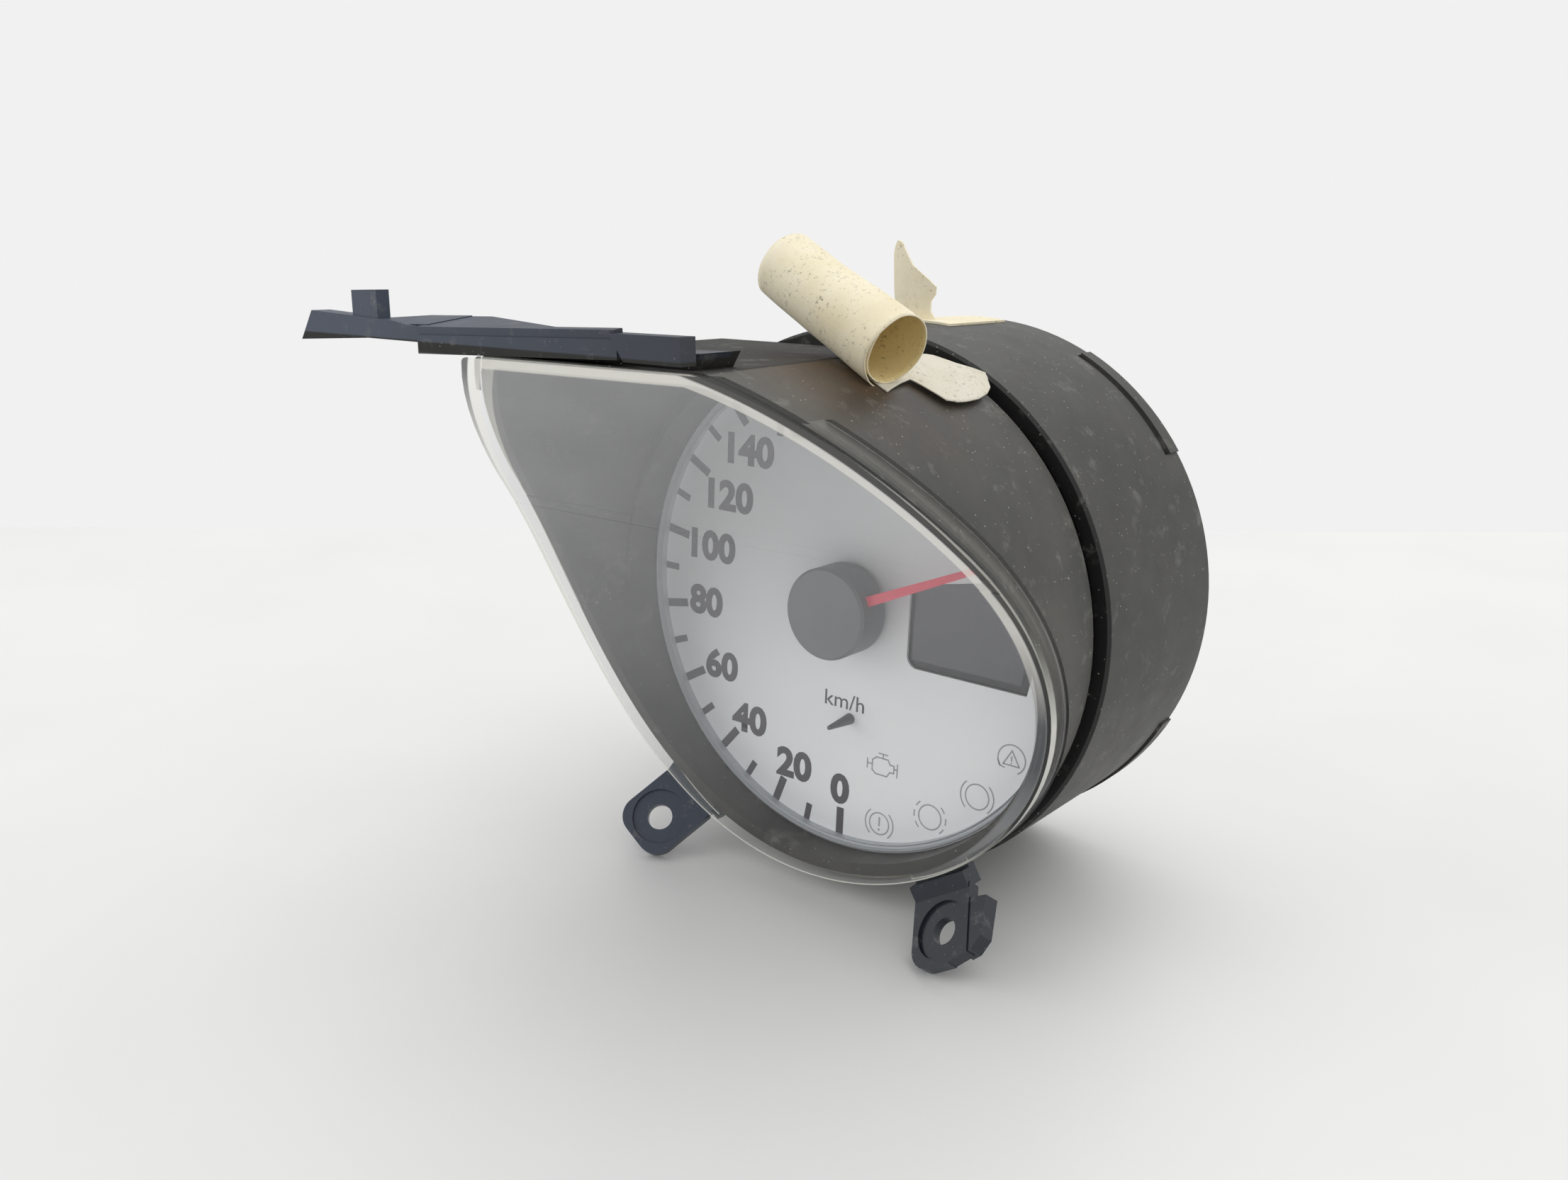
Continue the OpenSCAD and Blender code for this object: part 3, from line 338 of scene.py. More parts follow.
def behind_face(tree, x, y, z):
    """Millimetres that a point of the lens lies behind its curved front face."""
    node = partial(add_node, tree)
    # the arc
    in_arc = node("Math", {0: y, 1: FACE_FLAT_FROM}, operation="MINIMUM")
    along = node("Math", {0: in_arc, 1: FACE_DOWN}, operation="ADD")
    square = node("Math", {0: along, 1: 2.0}, operation="POWER")
    rest = node("Math", {0: FACE_R ** 2, 1: square}, operation="SUBTRACT")
    depth = node("Math", {0: rest}, operation="SQRT")
    curve = node("Math", {0: FACE_OUT, 1: depth}, operation="SUBTRACT")
    # the straight part above it, at 45 degrees
    above = node("Math", {0: y, 1: FACE_FLAT_FROM}, operation="SUBTRACT")
    straight = node("Math", {0: above, 1: 0.0}, operation="MAXIMUM")
    upright = node("Math", {0: curve, 1: straight}, operation="ADD")
    face = node("Math", {0: x, 1: FACE_LEAN, 2: upright}, operation="MULTIPLY_ADD")
    return node("Math", {0: face, 1: z}, operation="SUBTRACT")


def acrylic_lens():
    """Moulded clear acrylic under a thin veil of dust and painted reflection. Its rim carries
    painted highlights and painted dark lines.
    """
    made, tree, shader = new_material("lens_clear_acrylic", Roughness=0.08, IOR=1.49)
    node = partial(add_node, tree)
    where = dial_space(tree)
    spot = node("SeparateXYZ", {"Vector": where})
    x, y, z = ((spot, axis) for axis in "XYZ")
    behind = behind_face(tree, x, y, z)
    # the skirt's walls face sideways, the sheet faces outwards
    facing = node("VectorMath", {0: (node("TexCoord"), "Normal"), 1: DIAL_OUT},
                  operation="DOT_PRODUCT")
    skirt = zone(tree, (node("Math", {0: (facing, "Value")}, operation="ABSOLUTE"), 0.6, 0.45))
    sheet = node("Math", {0: 1.0, 1: skirt}, operation="SUBTRACT")
    # from 0 at the upper right to 1 at the lower left, and what changes with it
    low = zone(tree, (node("Math", {0: x, 1: y}, operation="ADD"), 15.0, -30.0))
    line_end, strip_end, skirt_reflection_cover, lip_cover, border_cover = (
        node("Math", {0: low, 1: change, 2: start}, operation="MULTIPLY_ADD")
        for start, change in ((1.15, -0.35), (3.1, -1.7), (0.012, 0.22), (0.05, 0.75),
                              (0.9, -0.2)))

    # the sheet's border is a painted dark line, a painted highlight at the lower left, with a
    # strip of painted highlight inside it
    inward = rim_distance(tree, x, y)
    past_line = node("Math", {0: inward, 1: line_end}, operation="SUBTRACT")
    past_strip = node("Math", {0: inward, 1: strip_end}, operation="SUBTRACT")
    border = zone(tree, sheet, (past_line, 0.0, -0.3))
    # at the foot of the lens the painted highlight strip fades and only the skirt behind shows
    foot = zone(tree, (y, -18.0, -44.0))
    strip = zone(tree, sheet, (past_strip, 0.2, -0.2), (past_line, -0.2, 0.1),
                 node("Math", {0: foot, 1: -0.85, 2: 1.0}, operation="MULTIPLY_ADD"))
    # low on the right the strip is a painted reflection of the dark hood, and the skirt behind
    # it carries a painted highlight
    flank = zone(tree, (y, 12.0, -8.0), (x, 20.0, 32.0))
    painted_skirt_highlight = zone(tree, skirt, flank, (behind, 2.4, 2.0))
    # the skirt carries a painted reflection, strongest at the lower left, where its lip has a
    # painted highlight
    lip = zone(tree, skirt, (behind, 3.6, 3.9))

    # dust and painted reflection: a pale veil that is thicker to the upper left, with smears and
    # wiping scratches
    lean = node("Math", {0: x, 1: -0.45, 2: y}, operation="MULTIPLY_ADD")
    dust_and_reflection_veil = node("MapRange", {"Value": lean, "From Min": -45.0, "From Max": 65.0,
                             "To Min": 0.025, "To Max": 0.26})
    cloud = node("TexNoise", {"Vector": where, "Scale": 1 / 16, "Detail": 5, "Roughness": 0.6})
    smear = node("Math", {0: cloud, 1: 0.4, 2: 0.75}, operation="MULTIPLY_ADD")
    # the scratches are about 0.15 mm wide and run down the slope, drawn wider than life
    pulled = node("Mapping", {
        "Vector": where, "Rotation": (0, 0, math.radians(24)), "Scale": (1, 0.045, 1)})
    scratches = patches(tree, pulled, 0.9, [(0.62, 0.0), (0.74, 1.0)], detail=6, rough=0.75)
    dust = node("Math", {0: scratches, 1: 0.05, 2: zone(tree, dust_and_reflection_veil, smear)},
                operation="MULTIPLY_ADD")

    cover = zone(tree, sheet, dust)
    for mask, strength in ((skirt, skirt_reflection_cover), (strip, 0.64), (lip, lip_cover),
                           (border, border_cover), (painted_skirt_highlight, 0.7)):
        cover = node("Math", {0: cover, 1: zone(tree, mask, strength)}, operation="MAXIMUM")
    # painted light: the strip and lip are painted highlights, low on the right a painted
    # reflection of the dark hood; the skirt's bright part low on the right is a painted
    # highlight, and the border is a painted dark line, pale at the lower left
    tone = coats(tree, "#e2e3e6", (skirt, "#a3a598"),
                 (node("Math", {0: strip, 1: lip}, operation="MAXIMUM"),
                  coats(tree, "#faf8f0", (flank, "#5d5f63"))),
                 (painted_skirt_highlight, "#efeee6"),
                 (border, coats(tree, "#1c1c1b", (low, "#ecebe2"))))
    plug(shader, {"Base Color": tone, "Alpha": cover})
    return made


def smoked_window():
    """Smoked polariser of the display, smooth, with a darker border along the window's edge."""
    made, tree, shader = new_material("display_smoked_glass", Roughness=0.12, IOR=1.5)
    node = partial(add_node, tree)
    where = dial_space(tree)
    spot = node("SeparateXYZ", {"Vector": where})
    x, y = (spot, "X"), (spot, "Y")
    inward = node("Math", {0: WINDOW_R, 1: axis_distance(tree, x, y)}, operation="SUBTRACT")
    for side, edge in ((y, WINDOW_LOW), (x, WINDOW_LEFT)):
        past = node("Math", {0: side, 1: edge}, operation="SUBTRACT")
        inward = node("Math", {0: past, 1: inward}, operation="MINIMUM")
    cloud = node("TexNoise", {"Vector": where, "Scale": 1 / 20, "Detail": 3})
    plug(shader, {"Base Color": coats(
        tree, "#505157", (cloud, "#595a5f"), (zone(tree, (inward, 1.7, 1.3)), "#101114"))})
    return made


def silver_dial():
    """Screen-printed silver-grey film, flat with a very fine metallic grain."""
    made, tree, shader = new_material("dial_silver_film", Roughness=0.5, Metallic=0.15)
    where = dial_space(tree)
    tone = patches(tree, where, 40, [(0.3, "#f0f2f4"), (0.75, "#f7f8f9")])
    dust = patches(tree, where, 0.6, [(0.66, 0.0), (0.78, 0.35)], detail=4, rough=0.7)
    plug(shader, {"Base Color": coats(tree, tone, (dust, "#cfd1d3"))})
    return made


def printed_ink(name, colour, shade):
    """Screen-printed ink: matt, very slightly uneven in its cover."""
    made, tree, shader = new_material(name, Roughness=0.6)
    plug(shader, {"Base Color": patches(
        tree, dial_space(tree), 1.1, [(0.3, colour), (0.8, shade)], detail=3)})
    return made


def gummed_paper(name, colour, stain, speck_colour):
    """Old gummed paper: yellowed in patches, fibrous, with black grime in its surface."""
    made, tree, shader = new_material(name, Roughness=0.85, IOR=1.4)
    where = dial_space(tree)
    tone = patches(tree, where, 8, [(0.3, colour), (0.8, stain)], detail=5, rough=0.6)
    grime = patches(tree, where, 0.8, [(0.57, 0.0), (0.64, 0.8)], detail=5, rough=0.8)
    handled = patches(tree, where, 6, [(0.4, 0.1), (0.58, 1.0)])
    plug(shader, {
        "Base Color": coats(tree, tone, (zone(tree, grime, handled), speck_colour)),
        # paper fibres of 0.3 mm, drawn coarser than life
        "Normal": unevenness(tree, where, 0.45, 0.4, 0.06, detail=4, rough=0.7)})
    return made


def clear_plastic(name, colour, alpha, roughness=0.12):
    """Clear moulded plastic or glass, seen as a light tint with soft flow marks."""
    made, tree, shader = new_material(name, Roughness=roughness, IOR=1.49)
    flow = add_node(tree, "TexNoise", {
        "Vector": dial_space(tree), "Scale": 1 / 12, "Detail": 3})
    plug(shader, {
        "Base Color": add_node(
            tree, "ValToRGB", {"Fac": flow}, [(0.3, colour), (0.8, "#ffffff")]),
        "Alpha": add_node(tree, "MapRange", {
            "Value": flow, "To Min": alpha - 0.05, "To Max": alpha + 0.05})})
    return made


# ABS from a spark-eroded mould: satin, faded to a warm dark grey, dusty on the hood
hood_abs = moulded_black("hood_spark_eroded_abs", "#333330", "#474540", 0.46, hood=True)
# the same ABS on the housing: a little darker and cleaner
housing_abs = moulded_black("housing_moulded_abs", "#2e2e2c", "#3b3a36", 0.5)
# moulded acrylic: clear and glossy under dust
lens_acrylic = acrylic_lens()
# printed plastic film of the dial: pale silver and flat, with matt grey inks
dial_film = silver_dial()
number_ink = printed_ink("dial_dark_grey_ink", "#4b494e", "#545257")
sign_ink = printed_ink("dial_pale_grey_ink", "#a0a3a8", "#aaadb2")
# old gummed paper: matt cream outside, yellowed inside, and whiter where the tongue sticks
label_paper = gummed_paper("label_gummed_paper", "#f2ead2", "#e6dab8", "#575145")
label_inside = gummed_paper("label_paper_inside", "#e9d7a0", "#dcc489", "#5b5140")
label_white = gummed_paper("label_paper_tongue", "#e0dccf", "#d3ccb9", "#575145")
# ABS under silver paint: bright and smooth
ring_silver = silver_ring()
# glass-filled nylon of the cap: dark grey and matt
cap_plastic = plain_plastic("cap_dark_grey_nylon", "#64686a", "#6c7072", 0.5)
# polycarbonate of the needle: faded red with a gloss
needle_red = plain_plastic("needle_faded_red_polycarbonate", "#f7405a", "#f04c62", 0.32)
# acetal of the stop pin: grey and satin
pin_plastic = plain_plastic("stop_pin_grey_acetal", "#4a4c50", "#55585b", 0.4)
# polariser on the display's glass: dark and smooth
display_smoke = smoked_window()
# ABS filled with white pigment: plain white, throws light back
white_abs = plain_plastic("white_reflective_abs", "#e6e6e2", "#e0e0dc", 0.5, 40)
# undyed nylon: milky, slightly yellow and satin
pale_nylon = plain_plastic("natural_nylon", "#d9d2bd", "#ccc4ab", 0.5)
# glass-filled polyester of the socket: black and satin
black_pbt = plain_plastic("connector_black_pbt", "#1e2021", "#292b2c", 0.45)
# moulded epoxy of the chip: near black, matt and fine
chip_epoxy = plain_plastic("chip_moulded_epoxy", "#242628", "#2e3032", 0.6, 2)
# shrunk sleeve on the capacitors: blue with a soft gloss
can_sleeve = plain_plastic("capacitor_blue_sleeve", "#2b4a7c", "#365689", 0.3, 3)
# silicone rubber in conducting layers: grey and dull
contact_rubber = plain_plastic("layered_contact_rubber", "#85878a", "#6e7073", 0.8, 1)
# solder lacquer on the board: green with a soft gloss
board_lacquer = plain_plastic("board_green_solder_lacquer", "#356043", "#40704f", 0.35, 3)
# cast epoxy of the small lamps: white with a soft gloss
lamp_body = plain_plastic("lamp_white_epoxy", "#f0efe8", "#e3e1d5", 0.3, 2)
# turned and drawn metals: streaked along the spindle's axis
turned_steel = bare_metal("turned_steel", "#b9bcbe", "#9fa2a4", 0.3)
drawn_steel = bare_metal("zinc_plated_drawn_steel", "#b0b4b5", "#95999a", 0.38)
# pressed and fired magnet: nearly black and dull
ferrite = plain_plastic("sintered_ferrite", "#3b3937", "#484542", 0.75, 1.5)
# enamelled winding wire: red-brown with a shine, and the yellow brass of bushes and pins
copper_wire = bare_metal("enamelled_copper_wire", "#b5623a", "#8f4526", 0.35, (1, 1, 1), 0.5)
plain_brass = bare_metal("turned_brass", "#c8b066", "#aa9250", 0.3)
# clear acrylic behind the dial, and the lamps' glass: a light tint that shows what lies behind
guide_clear = clear_plastic("light_guide_acrylic", "#e3ebee", 0.55)
lamp_glass = clear_plastic("lamp_glass", "#f2eee2", 0.45, 0.05)

for name, material in {
    "front_shroud": hood_abs, "rear_housing": housing_abs, "lens": lens_acrylic,
    "dial_ring": ring_silver, "dial_plate": dial_film, "stop_pin": pin_plastic,
    "hub_cap": cap_plastic, "needle": needle_red, "pointer_shaft": turned_steel,
    "rotor_magnet": ferrite, "light_guide": guide_clear, "light_box": white_abs,
    "display_glass": display_smoke, "display_frame": white_abs,
    "contact_strips": contact_rubber, "circuit_board": board_lacquer,
    "movement_case": drawn_steel, "movement_cover": pale_nylon, "coil_bobbin": pale_nylon,
    "coil_a": copper_wire, "coil_b": copper_wire, "shaft_bushes": plain_brass,
    "movement_pins": plain_brass, "lamp_sockets": pale_nylon, "lamps": lamp_glass,
    "board_lamps": lamp_body, "connector_shell": black_pbt, "connector_pins": plain_brass,
    "driver_chip": chip_epoxy, "capacitors": can_sleeve, "rear_cover": white_abs,
    "board_screws": turned_steel, "label_scrap": label_paper, "paper_label": label_paper,
}.items():
    dress(name, material)


# print on the dial
INK_TOP = 0.02                      # the ink stands this far above the dial


def flat_shape(curve_data):
    """A flat curve or text as a bmesh, with the curve's own coordinates."""
    maker = bpy.data.objects.new("maker", curve_data)
    bpy.context.collection.objects.link(maker)
    data = bpy.data.meshes.new_from_object(
        maker.evaluated_get(bpy.context.evaluated_depsgraph_get()))
    bpy.data.objects.remove(maker)
    shape = bmesh.new()
    shape.from_mesh(data)
    bpy.data.meshes.remove(data)
    return shape


def join_shapes(shapes):
    """One bmesh with the faces of several, which are freed."""
    whole = bmesh.new()
    for shape in shapes:
        part = bpy.data.meshes.new("part")
        shape.to_mesh(part)
        shape.free()
        whole.from_mesh(part)
        bpy.data.meshes.remove(part)
    return whole


def lettering(text, centre, height, width_scale=1.0, weight=0.0):
    """Plain upright figures of a given height, centred on a point of the dial."""
    words = bpy.data.curves.new("words", "FONT")
    words.body = text
    words.align_x, words.align_y = "CENTER", "CENTER"
    words.offset = weight
    words.resolution_u = 4
    shape = flat_shape(words)
    xs = [v.co.x for v in shape.verts]
    ys = [v.co.y for v in shape.verts]
    size = height / (max(ys) - min(ys))
    middle = Vector(((max(xs) + min(xs)) / 2, (max(ys) + min(ys)) / 2, 0))
    for v in shape.verts:
        v.co = (v.co - middle) * size
        v.co.x = v.co.x * width_scale + centre[0]
        v.co.y += centre[1]
        v.co.z = INK_TOP
    return shape


def bar(length, width, centre, angle):
    """A straight printed bar, turned clockwise from twelve o'clock."""
    shape = bmesh.new()
    bmesh.ops.create_grid(shape, x_segments=1, y_segments=1, size=0.5)
    turn = Matrix.Rotation(-math.radians(angle), 4, "Z")
    place = Matrix.Translation((centre[0], centre[1], INK_TOP))
    bmesh.ops.transform(shape, matrix=place @ turn @ Matrix.Diagonal((width, length, 1, 1)),
                        verts=shape.verts)
    return shape


def arc(radius, width, centre, start, end):
    """A printed arc, angles in degrees anticlockwise from three o'clock."""
    shape = bmesh.new()
    first = [shape.verts.new((r, 0, 0)) for r in (radius - width / 2, radius + width / 2)]
    edge = shape.edges.new(first)
    sweep = abs(end - start)
    bmesh.ops.rotate(shape, verts=first, cent=(0, 0, 0),
                     matrix=Matrix.Rotation(math.radians(start), 3, "Z"))
    bmesh.ops.spin(shape, geom=first + [edge], cent=(0, 0, 0), axis=(0, 0, 1),
                   angle=math.radians(end - start), steps=max(6, int(sweep / 6)),
                   use_merge=sweep >= 360)
    bmesh.ops.translate(shape, verts=shape.verts, vec=(centre[0], centre[1], INK_TOP))
    return shape


def line(start, end, width):
    """A printed line between two points of the dial, a little longer so that corners close."""
    a, b = Vector(start), Vector(end)
    run = b - a
    return bar(run.length + width * 0.6, width, (a + b) / 2,
               math.degrees(math.atan2(run.x, run.y)))


def clock(angle, radius):
    """The point of the dial at an angle clockwise from twelve o'clock."""
    return (radius * math.sin(math.radians(angle)), radius * math.cos(math.radians(angle)))


def place_print(name, shapes, material):
    """Joins shapes into one printed piece on the dial, facing outwards."""
    whole = join_shapes(shapes)
    bmesh.ops.recalc_face_normals(whole, faces=whole.faces)
    for face in whole.faces:
        if face.normal.z < 0:
            face.normal_flip()
    bmesh.ops.transform(whole, matrix=DIAL_SPACE, verts=whole.verts)
    return finish_piece(mesh_piece(name, whole), material, "instrument")


SCALE_START = 180                   # zero stands at six o'clock; each km/h is one degree on
TICKS_OUT = DIAL_R - 0.2
LONG_TICK, SHORT_TICK = (43.9, 1.8), (46.0, 1.5)    # radius where it starts, width
ticks = []
for speed in range(0, 241, 10):
    inner, width = SHORT_TICK if speed % 20 else LONG_TICK
    angle = SCALE_START + speed
    ticks.append(bar(TICKS_OUT - inner, width, clock(angle, (TICKS_OUT + inner) / 2), angle))
place_print("dial_ticks", ticks, number_ink)

NUMBER_AT = {0: (-0.4, -39.8), 20: (-12.5, -37.6), 40: (-25.0, -30.4), 60: (-33.1, -19.8),
             80: (-38.0, -6.2), 100: (-36.4, 6.3), 120: (-32.0, 17.9), 140: (-26.9, 28.3),
             160: (-14.2, 35.6), 180: (0.0, 38.2), 200: (14.2, 35.6), 220: (26.6, 28.0),
             240: (33.4, 17.6)}
numbers = [lettering(str(speed), spot, 6.8, 1.06, 0.045) for speed, spot in NUMBER_AT.items()]
place_print("dial_numbers", numbers, number_ink)
place_print("dial_unit", [lettering("km/h", (-0.3, -20.4), 3.3, 1.1, 0.004)], number_ink)

LINE = 0.3
signs = []
# brake warning: a ring with an exclamation mark between two brackets
x, y = 9.8, -44.7
signs += [arc(2.35, LINE, (x, y), 0, 360), bar(2.0, 0.4, (x, y + 0.45), 0),
          bar(0.45, 0.45, (x, y - 1.3), 0),
          arc(3.4, LINE, (x, y), 130, 230), arc(3.4, LINE, (x, y), -50, 50)]
# worn linings: a ring between dashed brackets
x, y = 21.7, -39.8
signs.append(arc(2.6, LINE, (x, y), 0, 360))
for middle in (180, 0):
    signs += [arc(3.7, LINE, (x, y), middle + turn - 11, middle + turn + 11)
              for turn in (-38, 0, 38)]
# anti-lock brakes: a ring between brackets
x, y = 32.0, -32.5
signs += [arc(2.6, LINE, (x, y), 0, 360), arc(3.7, LINE, (x, y), 132, 228),
          arc(3.7, LINE, (x, y), -48, 48)]
# stability warning: a triangle with a mark, inside an open ring with an arrow head
x, y = 38.8, -22.9
corners = [(x, y + 1.8), (x - 1.75, y - 1.2), (x + 1.75, y - 1.2)]
signs += [line(corners[i], corners[(i + 1) % 3], LINE) for i in range(3)]
signs += [bar(1.1, LINE, (x, y + 0.15), 0), bar(0.28, 0.28, (x, y - 0.78), 0),
          arc(2.95, LINE, (x, y), -60, 215), line((x - 2.4, y - 1.7), (x - 1.4, y - 1.9), LINE),
          line((x - 2.4, y - 1.7), (x - 2.9, y - 0.7), LINE)]
# engine warning: the outline of an engine block
x, y, grow = 9.9, -32.0, 1.35
outline = [(-1.9, -1.0), (-1.9, 0.6), (-1.2, 1.2), (0.9, 1.2), (1.3, 0.5), (2.0, 0.5),
           (2.0, -0.7), (1.3, -0.7), (0.8, -1.5), (-1.2, -1.5)]
strokes = list(zip(outline, outline[1:] + outline[:1])) + [
    ((-0.8, 1.9), (0.8, 1.9)), ((0, 1.2), (0, 1.9)), ((-2.8, -0.9), (-2.8, 0.6)),
    ((-2.8, -0.1), (-1.9, -0.1)), ((2.0, 0.0), (2.6, 0.0)), ((2.6, 0.9), (2.6, -1.2))]
signs += [line((x + a[0] * grow, y + a[1] * grow), (x + b[0] * grow, y + b[1] * grow), LINE)
          for a, b in strokes]
place_print("dial_signs", signs, sign_ink)


# curled paper label
# The label has come off the hood and curled up. Its tongue still sticks to the hood.
ROLL_DIR = Vector((0.912, -0.408, 0.189)).normalized()
ROLL_LEN, ROLL_R, PAPER = 34.5, 6.0, 0.22
ROLL_ANGLE, ROLL_Z = math.radians(63.6), 29.5   # where round the hood the roll's near end lies
ROLL_SWEEP = math.radians(475)                  # the sheet goes round one and a third times
# the tongue runs back from under the roll, from one z to another, towards the groove
TONGUE_FROM, TONGUE_RUN = 31.2, 31.1
# its torn edges: (share of its length, millimetres round the hood)
TONGUE_LOW = ((0, -2.5), (0.19, -1.0), (0.3, -0.6), (0.35, -4.4), (0.39, -7.2), (0.47, -8.0),
              (0.72, -7.8), (0.86, -6.9), (0.95, -5.6), (1, -4.0))
TONGUE_HIGH = ((0, 5.5), (0.72, 5.6), (0.77, 5.0), (0.86, 1.4), (0.95, -1.0), (1, -2.6))


def hood_radius(z):
    """The hood's outer radius at a distance in front of the dial."""
    return HOOD_R + (z - HOOD_BACK) * HOOD_DRAFT


HOOD_UP = Vector((math.cos(ROLL_ANGLE), math.sin(ROLL_ANGLE), 0))
ROLL_NEAR = HOOD_UP * (hood_radius(ROLL_Z) + ROLL_R + 0.35) + Vector((0, 0, ROLL_Z)) + ROLL_DIR
ROLL_OUT = (HOOD_UP - ROLL_DIR * HOOD_UP.dot(ROLL_DIR)).normalized()
ROLL_BACK = ROLL_DIR.cross(ROLL_OUT)
ROLL_SHIFT = Vector((-0.45, 0.5, 0.6))          # the wider mouth sags forwards, off the hood


def curl_of_paper():
    """A flat sheet, wound one and a third times about the axis of the roll."""
    shape = bmesh.new()
    bmesh.ops.create_grid(shape, x_segments=96, y_segments=34, size=0.5)
    for vert in shape.verts:
        s, t = vert.co.x + 0.5, vert.co.y + 0.5
        angle = -math.pi - ROLL_SWEEP * s
        # wider at the far end, with soft dents, and a ragged slanting cut at both ends
        wide = 0.35 + 0.65 * t
        radius = ROLL_R + wide - 1.25 * s
        radius += 0.3 * noise.noise(Vector((3.2 * s, 2.6 * t, 4.2)))
        ragged = 0.5 * noise.noise(Vector((9 * s, 7 * t, 1.7)))
        lean = 0.9 * math.sin(angle + 0.6)
        reach = 0.9 + lean * (1 - t) + (ROLL_LEN - 1.2) * t + ragged - 0.7 * s * t
        centre = ROLL_NEAR - ROLL_DIR * (ROLL_LEN - reach) + wide * t * ROLL_SHIFT
        vert.co = centre + radius * (math.cos(angle) * ROLL_OUT + math.sin(angle) * ROLL_BACK)
    return shape


def between(knots, place):
    """Reads a value off the straight lines through (place, value) knots."""
    for (p0, v0), (p1, v1) in zip(knots, knots[1:]):
        if place <= p1 + 1e-9:
            share = (place - p0) / (p1 - p0)
            return v0 + (v1 - v0) * share
    return knots[-1][1]


def tongue_of_paper():
    """The part of the sheet that still sticks to the hood, torn to a blunt point."""
    shape = bmesh.new()
    bmesh.ops.create_grid(shape, x_segments=24, y_segments=64, size=0.5)
    for vert in shape.verts:
        across, along = vert.co.x + 0.5, vert.co.y + 0.5
        z = TONGUE_FROM - TONGUE_RUN * along
        # both torn edges, as distances round the hood from the roll's own place
        low = between(TONGUE_LOW, along) + 0.2 * noise.noise(Vector((0.2, 6 * along, 3.1)))
        high = between(TONGUE_HIGH, along) + 0.2 * noise.noise(Vector((5.2, 6 * along, 3.1)))
        side = low + (high - low) * across
        # the tip and the long edge have lifted a little
        lift = 0.16 + 1.5 * min(1, 2.2 * along) + 0.9 * max(0, along - 0.72) ** 2 * 6
        lift += 0.9 * (across - 0.5) * min(1, 2 * along)
        lift += 0.16 * noise.noise(Vector((3 * across, 5 * along, 8.3)))
        radius = hood_radius(z) + max(0.12, lift)
        angle = ROLL_ANGLE + math.radians(0.4) + side / radius
        vert.co = Vector((radius * math.cos(angle), radius * math.sin(angle), z))
    return shape


roll = curl_of_paper()
roll_faces = len(roll.faces)
sheet = join_shapes([roll, tongue_of_paper()])
bmesh.ops.transform(sheet, matrix=DIAL_SPACE, verts=sheet.verts)
bmesh.ops.recalc_face_normals(sheet, faces=sheet.faces)
curled_label = mesh_piece("curled_label", sheet, smooth=60)
wall = curled_label.modifiers.new("thickness", "SOLIDIFY")
wall.thickness, wall.offset = PAPER * MM, 0
wall.material_offset = 1                        # the sheet's other side takes the next material
finish_piece(curled_label, label_paper, "instrument")
for material in (label_inside, label_white, label_paper):
    curled_label.data.materials.append(material)
for face in curled_label.data.polygons:
    if face.index >= roll_faces:
        face.material_index = 2                 # the tongue: white, with paper on its other side
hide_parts("paper_label")

# table and light
CAMERA_AT = Vector((158.9, 77.1, 235.7))          # in dial millimetres
CAMERA_AXES = Matrix(((0.7952, -0.1817, 0.5785), (0.0368, 0.9667, 0.2531),
                      (-0.6053, -0.18, 0.7754)))   # columns: right, up, backwards
PHOTO_WIDTH, PHOTO_HEIGHT = 2212, 1665
FOCAL_PIXELS = 2050
SENSOR_MM = 36


def place_camera():
    """The camera that was solved from the photo's rings."""
    data = bpy.data.cameras.new("camera")
    data.sensor_width = SENSOR_MM
    data.lens = SENSOR_MM * FOCAL_PIXELS / PHOTO_WIDTH
    data.clip_start = 0.01
    made = bpy.data.objects.new("camera", data)
    bpy.context.collection.objects.link(made)
    turn = (DIAL_TURN.to_3x3() @ CAMERA_AXES).to_4x4()
    made.matrix_world = Matrix.Translation(DIAL_SPACE @ CAMERA_AT) @ turn
    bpy.context.scene.camera = made
    return made


camera = place_camera()


def on_table(u, v):
    """The point of the table that shows at a pixel of the photo's frame."""
    axes = camera.matrix_world.to_3x3()
    ray = axes @ Vector((u - PHOTO_WIDTH / 2, PHOTO_HEIGHT / 2 - v, -FOCAL_PIXELS))
    start = camera.matrix_world.translation
    spot = start - ray * (start.z / ray.z)
    return Vector((spot.x, spot.y, 0))


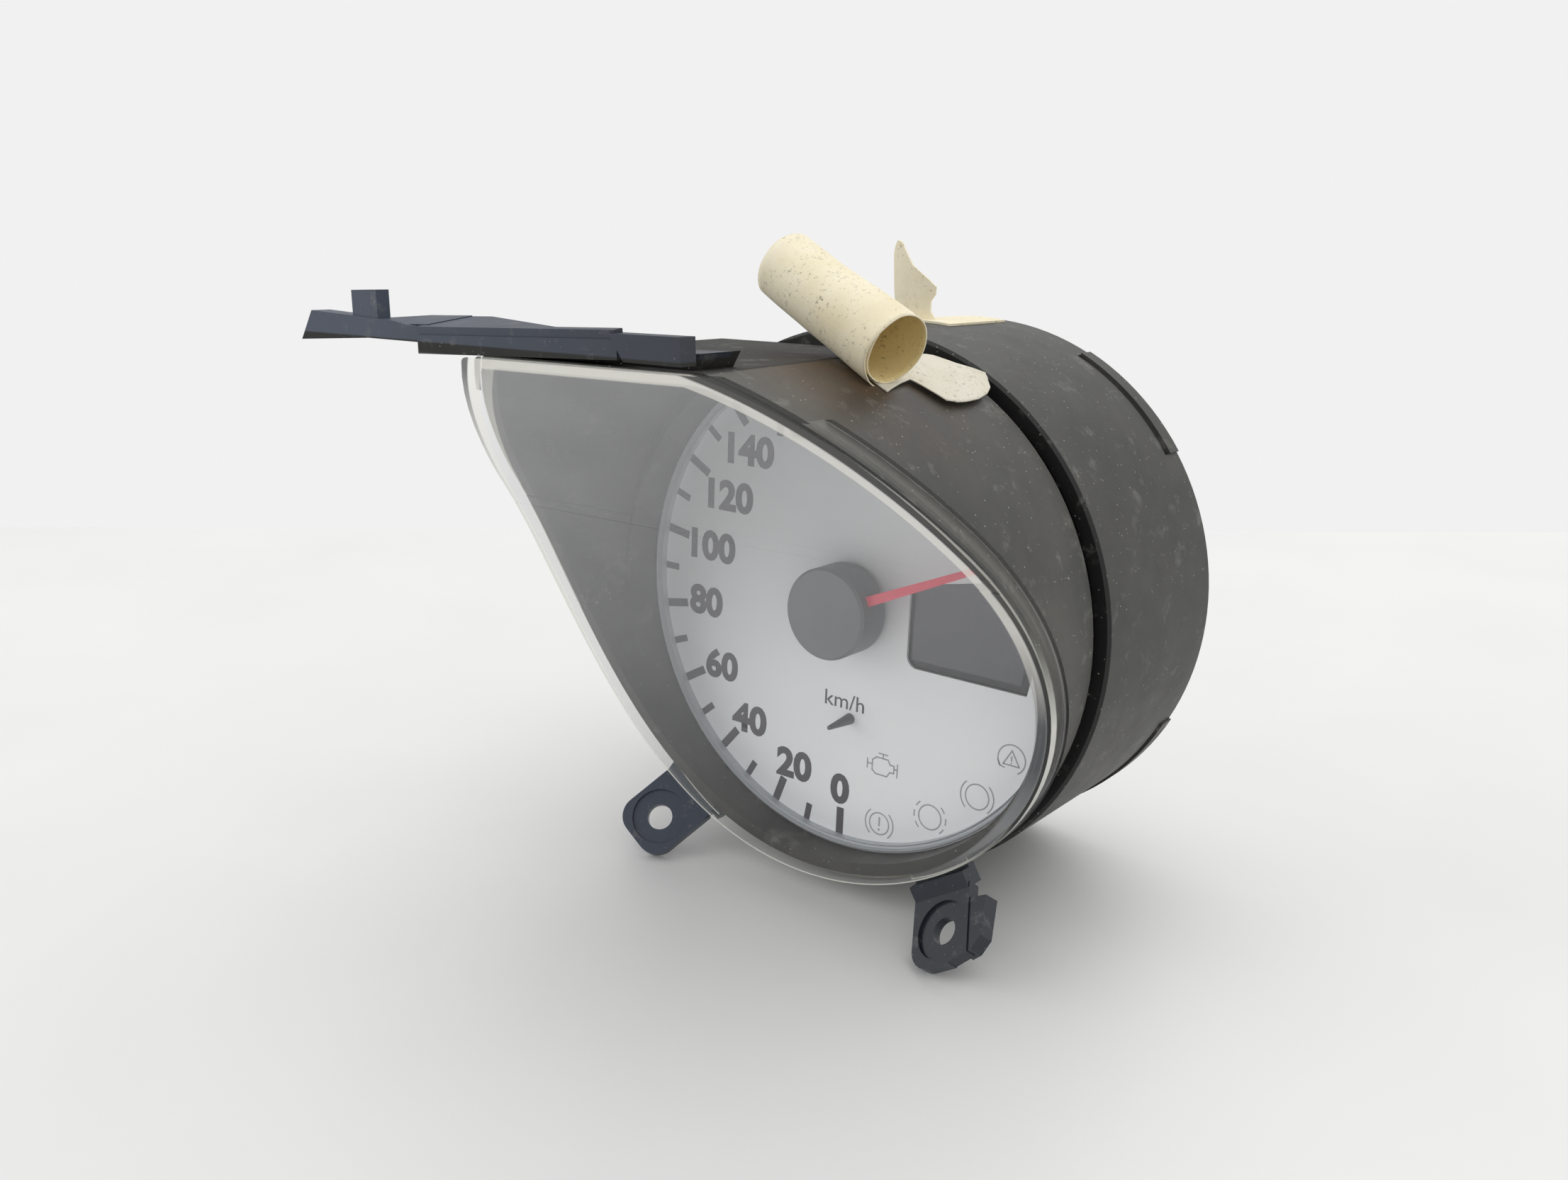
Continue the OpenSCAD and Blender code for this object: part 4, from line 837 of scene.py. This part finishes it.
# the far edge of the table shows as a level seam; the near edge lies behind the camera
far_left, far_right = on_table(-1400, 738), on_table(3700, 757)
nearer = (on_table(1106, 1665) - on_table(1106, 900)).normalized() * 2.2
table_shape = bmesh.new()
corners = [table_shape.verts.new(spot) for spot in (
    far_left, far_right, far_right + nearer, far_left + nearer)]
bmesh.ops.contextual_create(table_shape, geom=corners)
bmesh.ops.recalc_face_normals(table_shape, faces=table_shape.faces)
table = mesh_piece("table", table_shape)
# white laminate, faintly uneven
table_paint, tree, shader = new_material("table_white_laminate", Roughness=0.45)
plug(shader, {"Base Color": patches(
    tree, dial_space(tree), 60, [(0.3, "#e2e2e2"), (0.8, "#e7e7e6")], detail=3)})
table.data.materials.append(table_paint)

# the world lights the part softly; where it is seen directly it is a plain pale backdrop
world = bpy.data.worlds.new("studio")
bpy.context.scene.world = world
world.use_nodes = True
sky = world.node_tree
background = sky.nodes["Background"]
plug(background, {"Color": "#ebebea", "Strength": 0.95})
backdrop = add_node(sky, "Background", {"Color": "#f1f1f1", "Strength": 1.0})
rays = add_node(sky, "LightPath")
direct = rays, "Is Camera Ray"
for ray in ("Is Glossy Ray", "Is Transmission Ray"):
    direct = add_node(sky, "Math", {0: direct, 1: (rays, ray)}, operation="MAXIMUM")
plug(sky.nodes["World Output"], {"Surface": add_node(
    sky, "MixShader", {0: direct, 1: background, 2: backdrop})})


def softbox(name, place, target, size, power):
    """A rectangular studio light that points at a target."""
    data = bpy.data.lights.new(name, "AREA")
    data.shape = "RECTANGLE"
    data.size, data.size_y = size
    data.energy = power
    lamp = bpy.data.objects.new(name, data)
    lamp.location = place
    aim = (Vector(target) - Vector(place)).to_track_quat("-Z", "Y")
    lamp.rotation_euler = aim.to_euler()
    bpy.context.collection.objects.link(lamp)
    return lamp


LIT_POINT = (0, 0, 0.06)
softbox("overhead", (0.12, 0.35, 0.95), LIT_POINT, (1.5, 1.2), 4.8)
softbox("front_left", (-0.8, -0.75, 0.6), LIT_POINT, (0.9, 0.9), 2.8)

bpy.context.scene.view_settings.view_transform = "Standard"
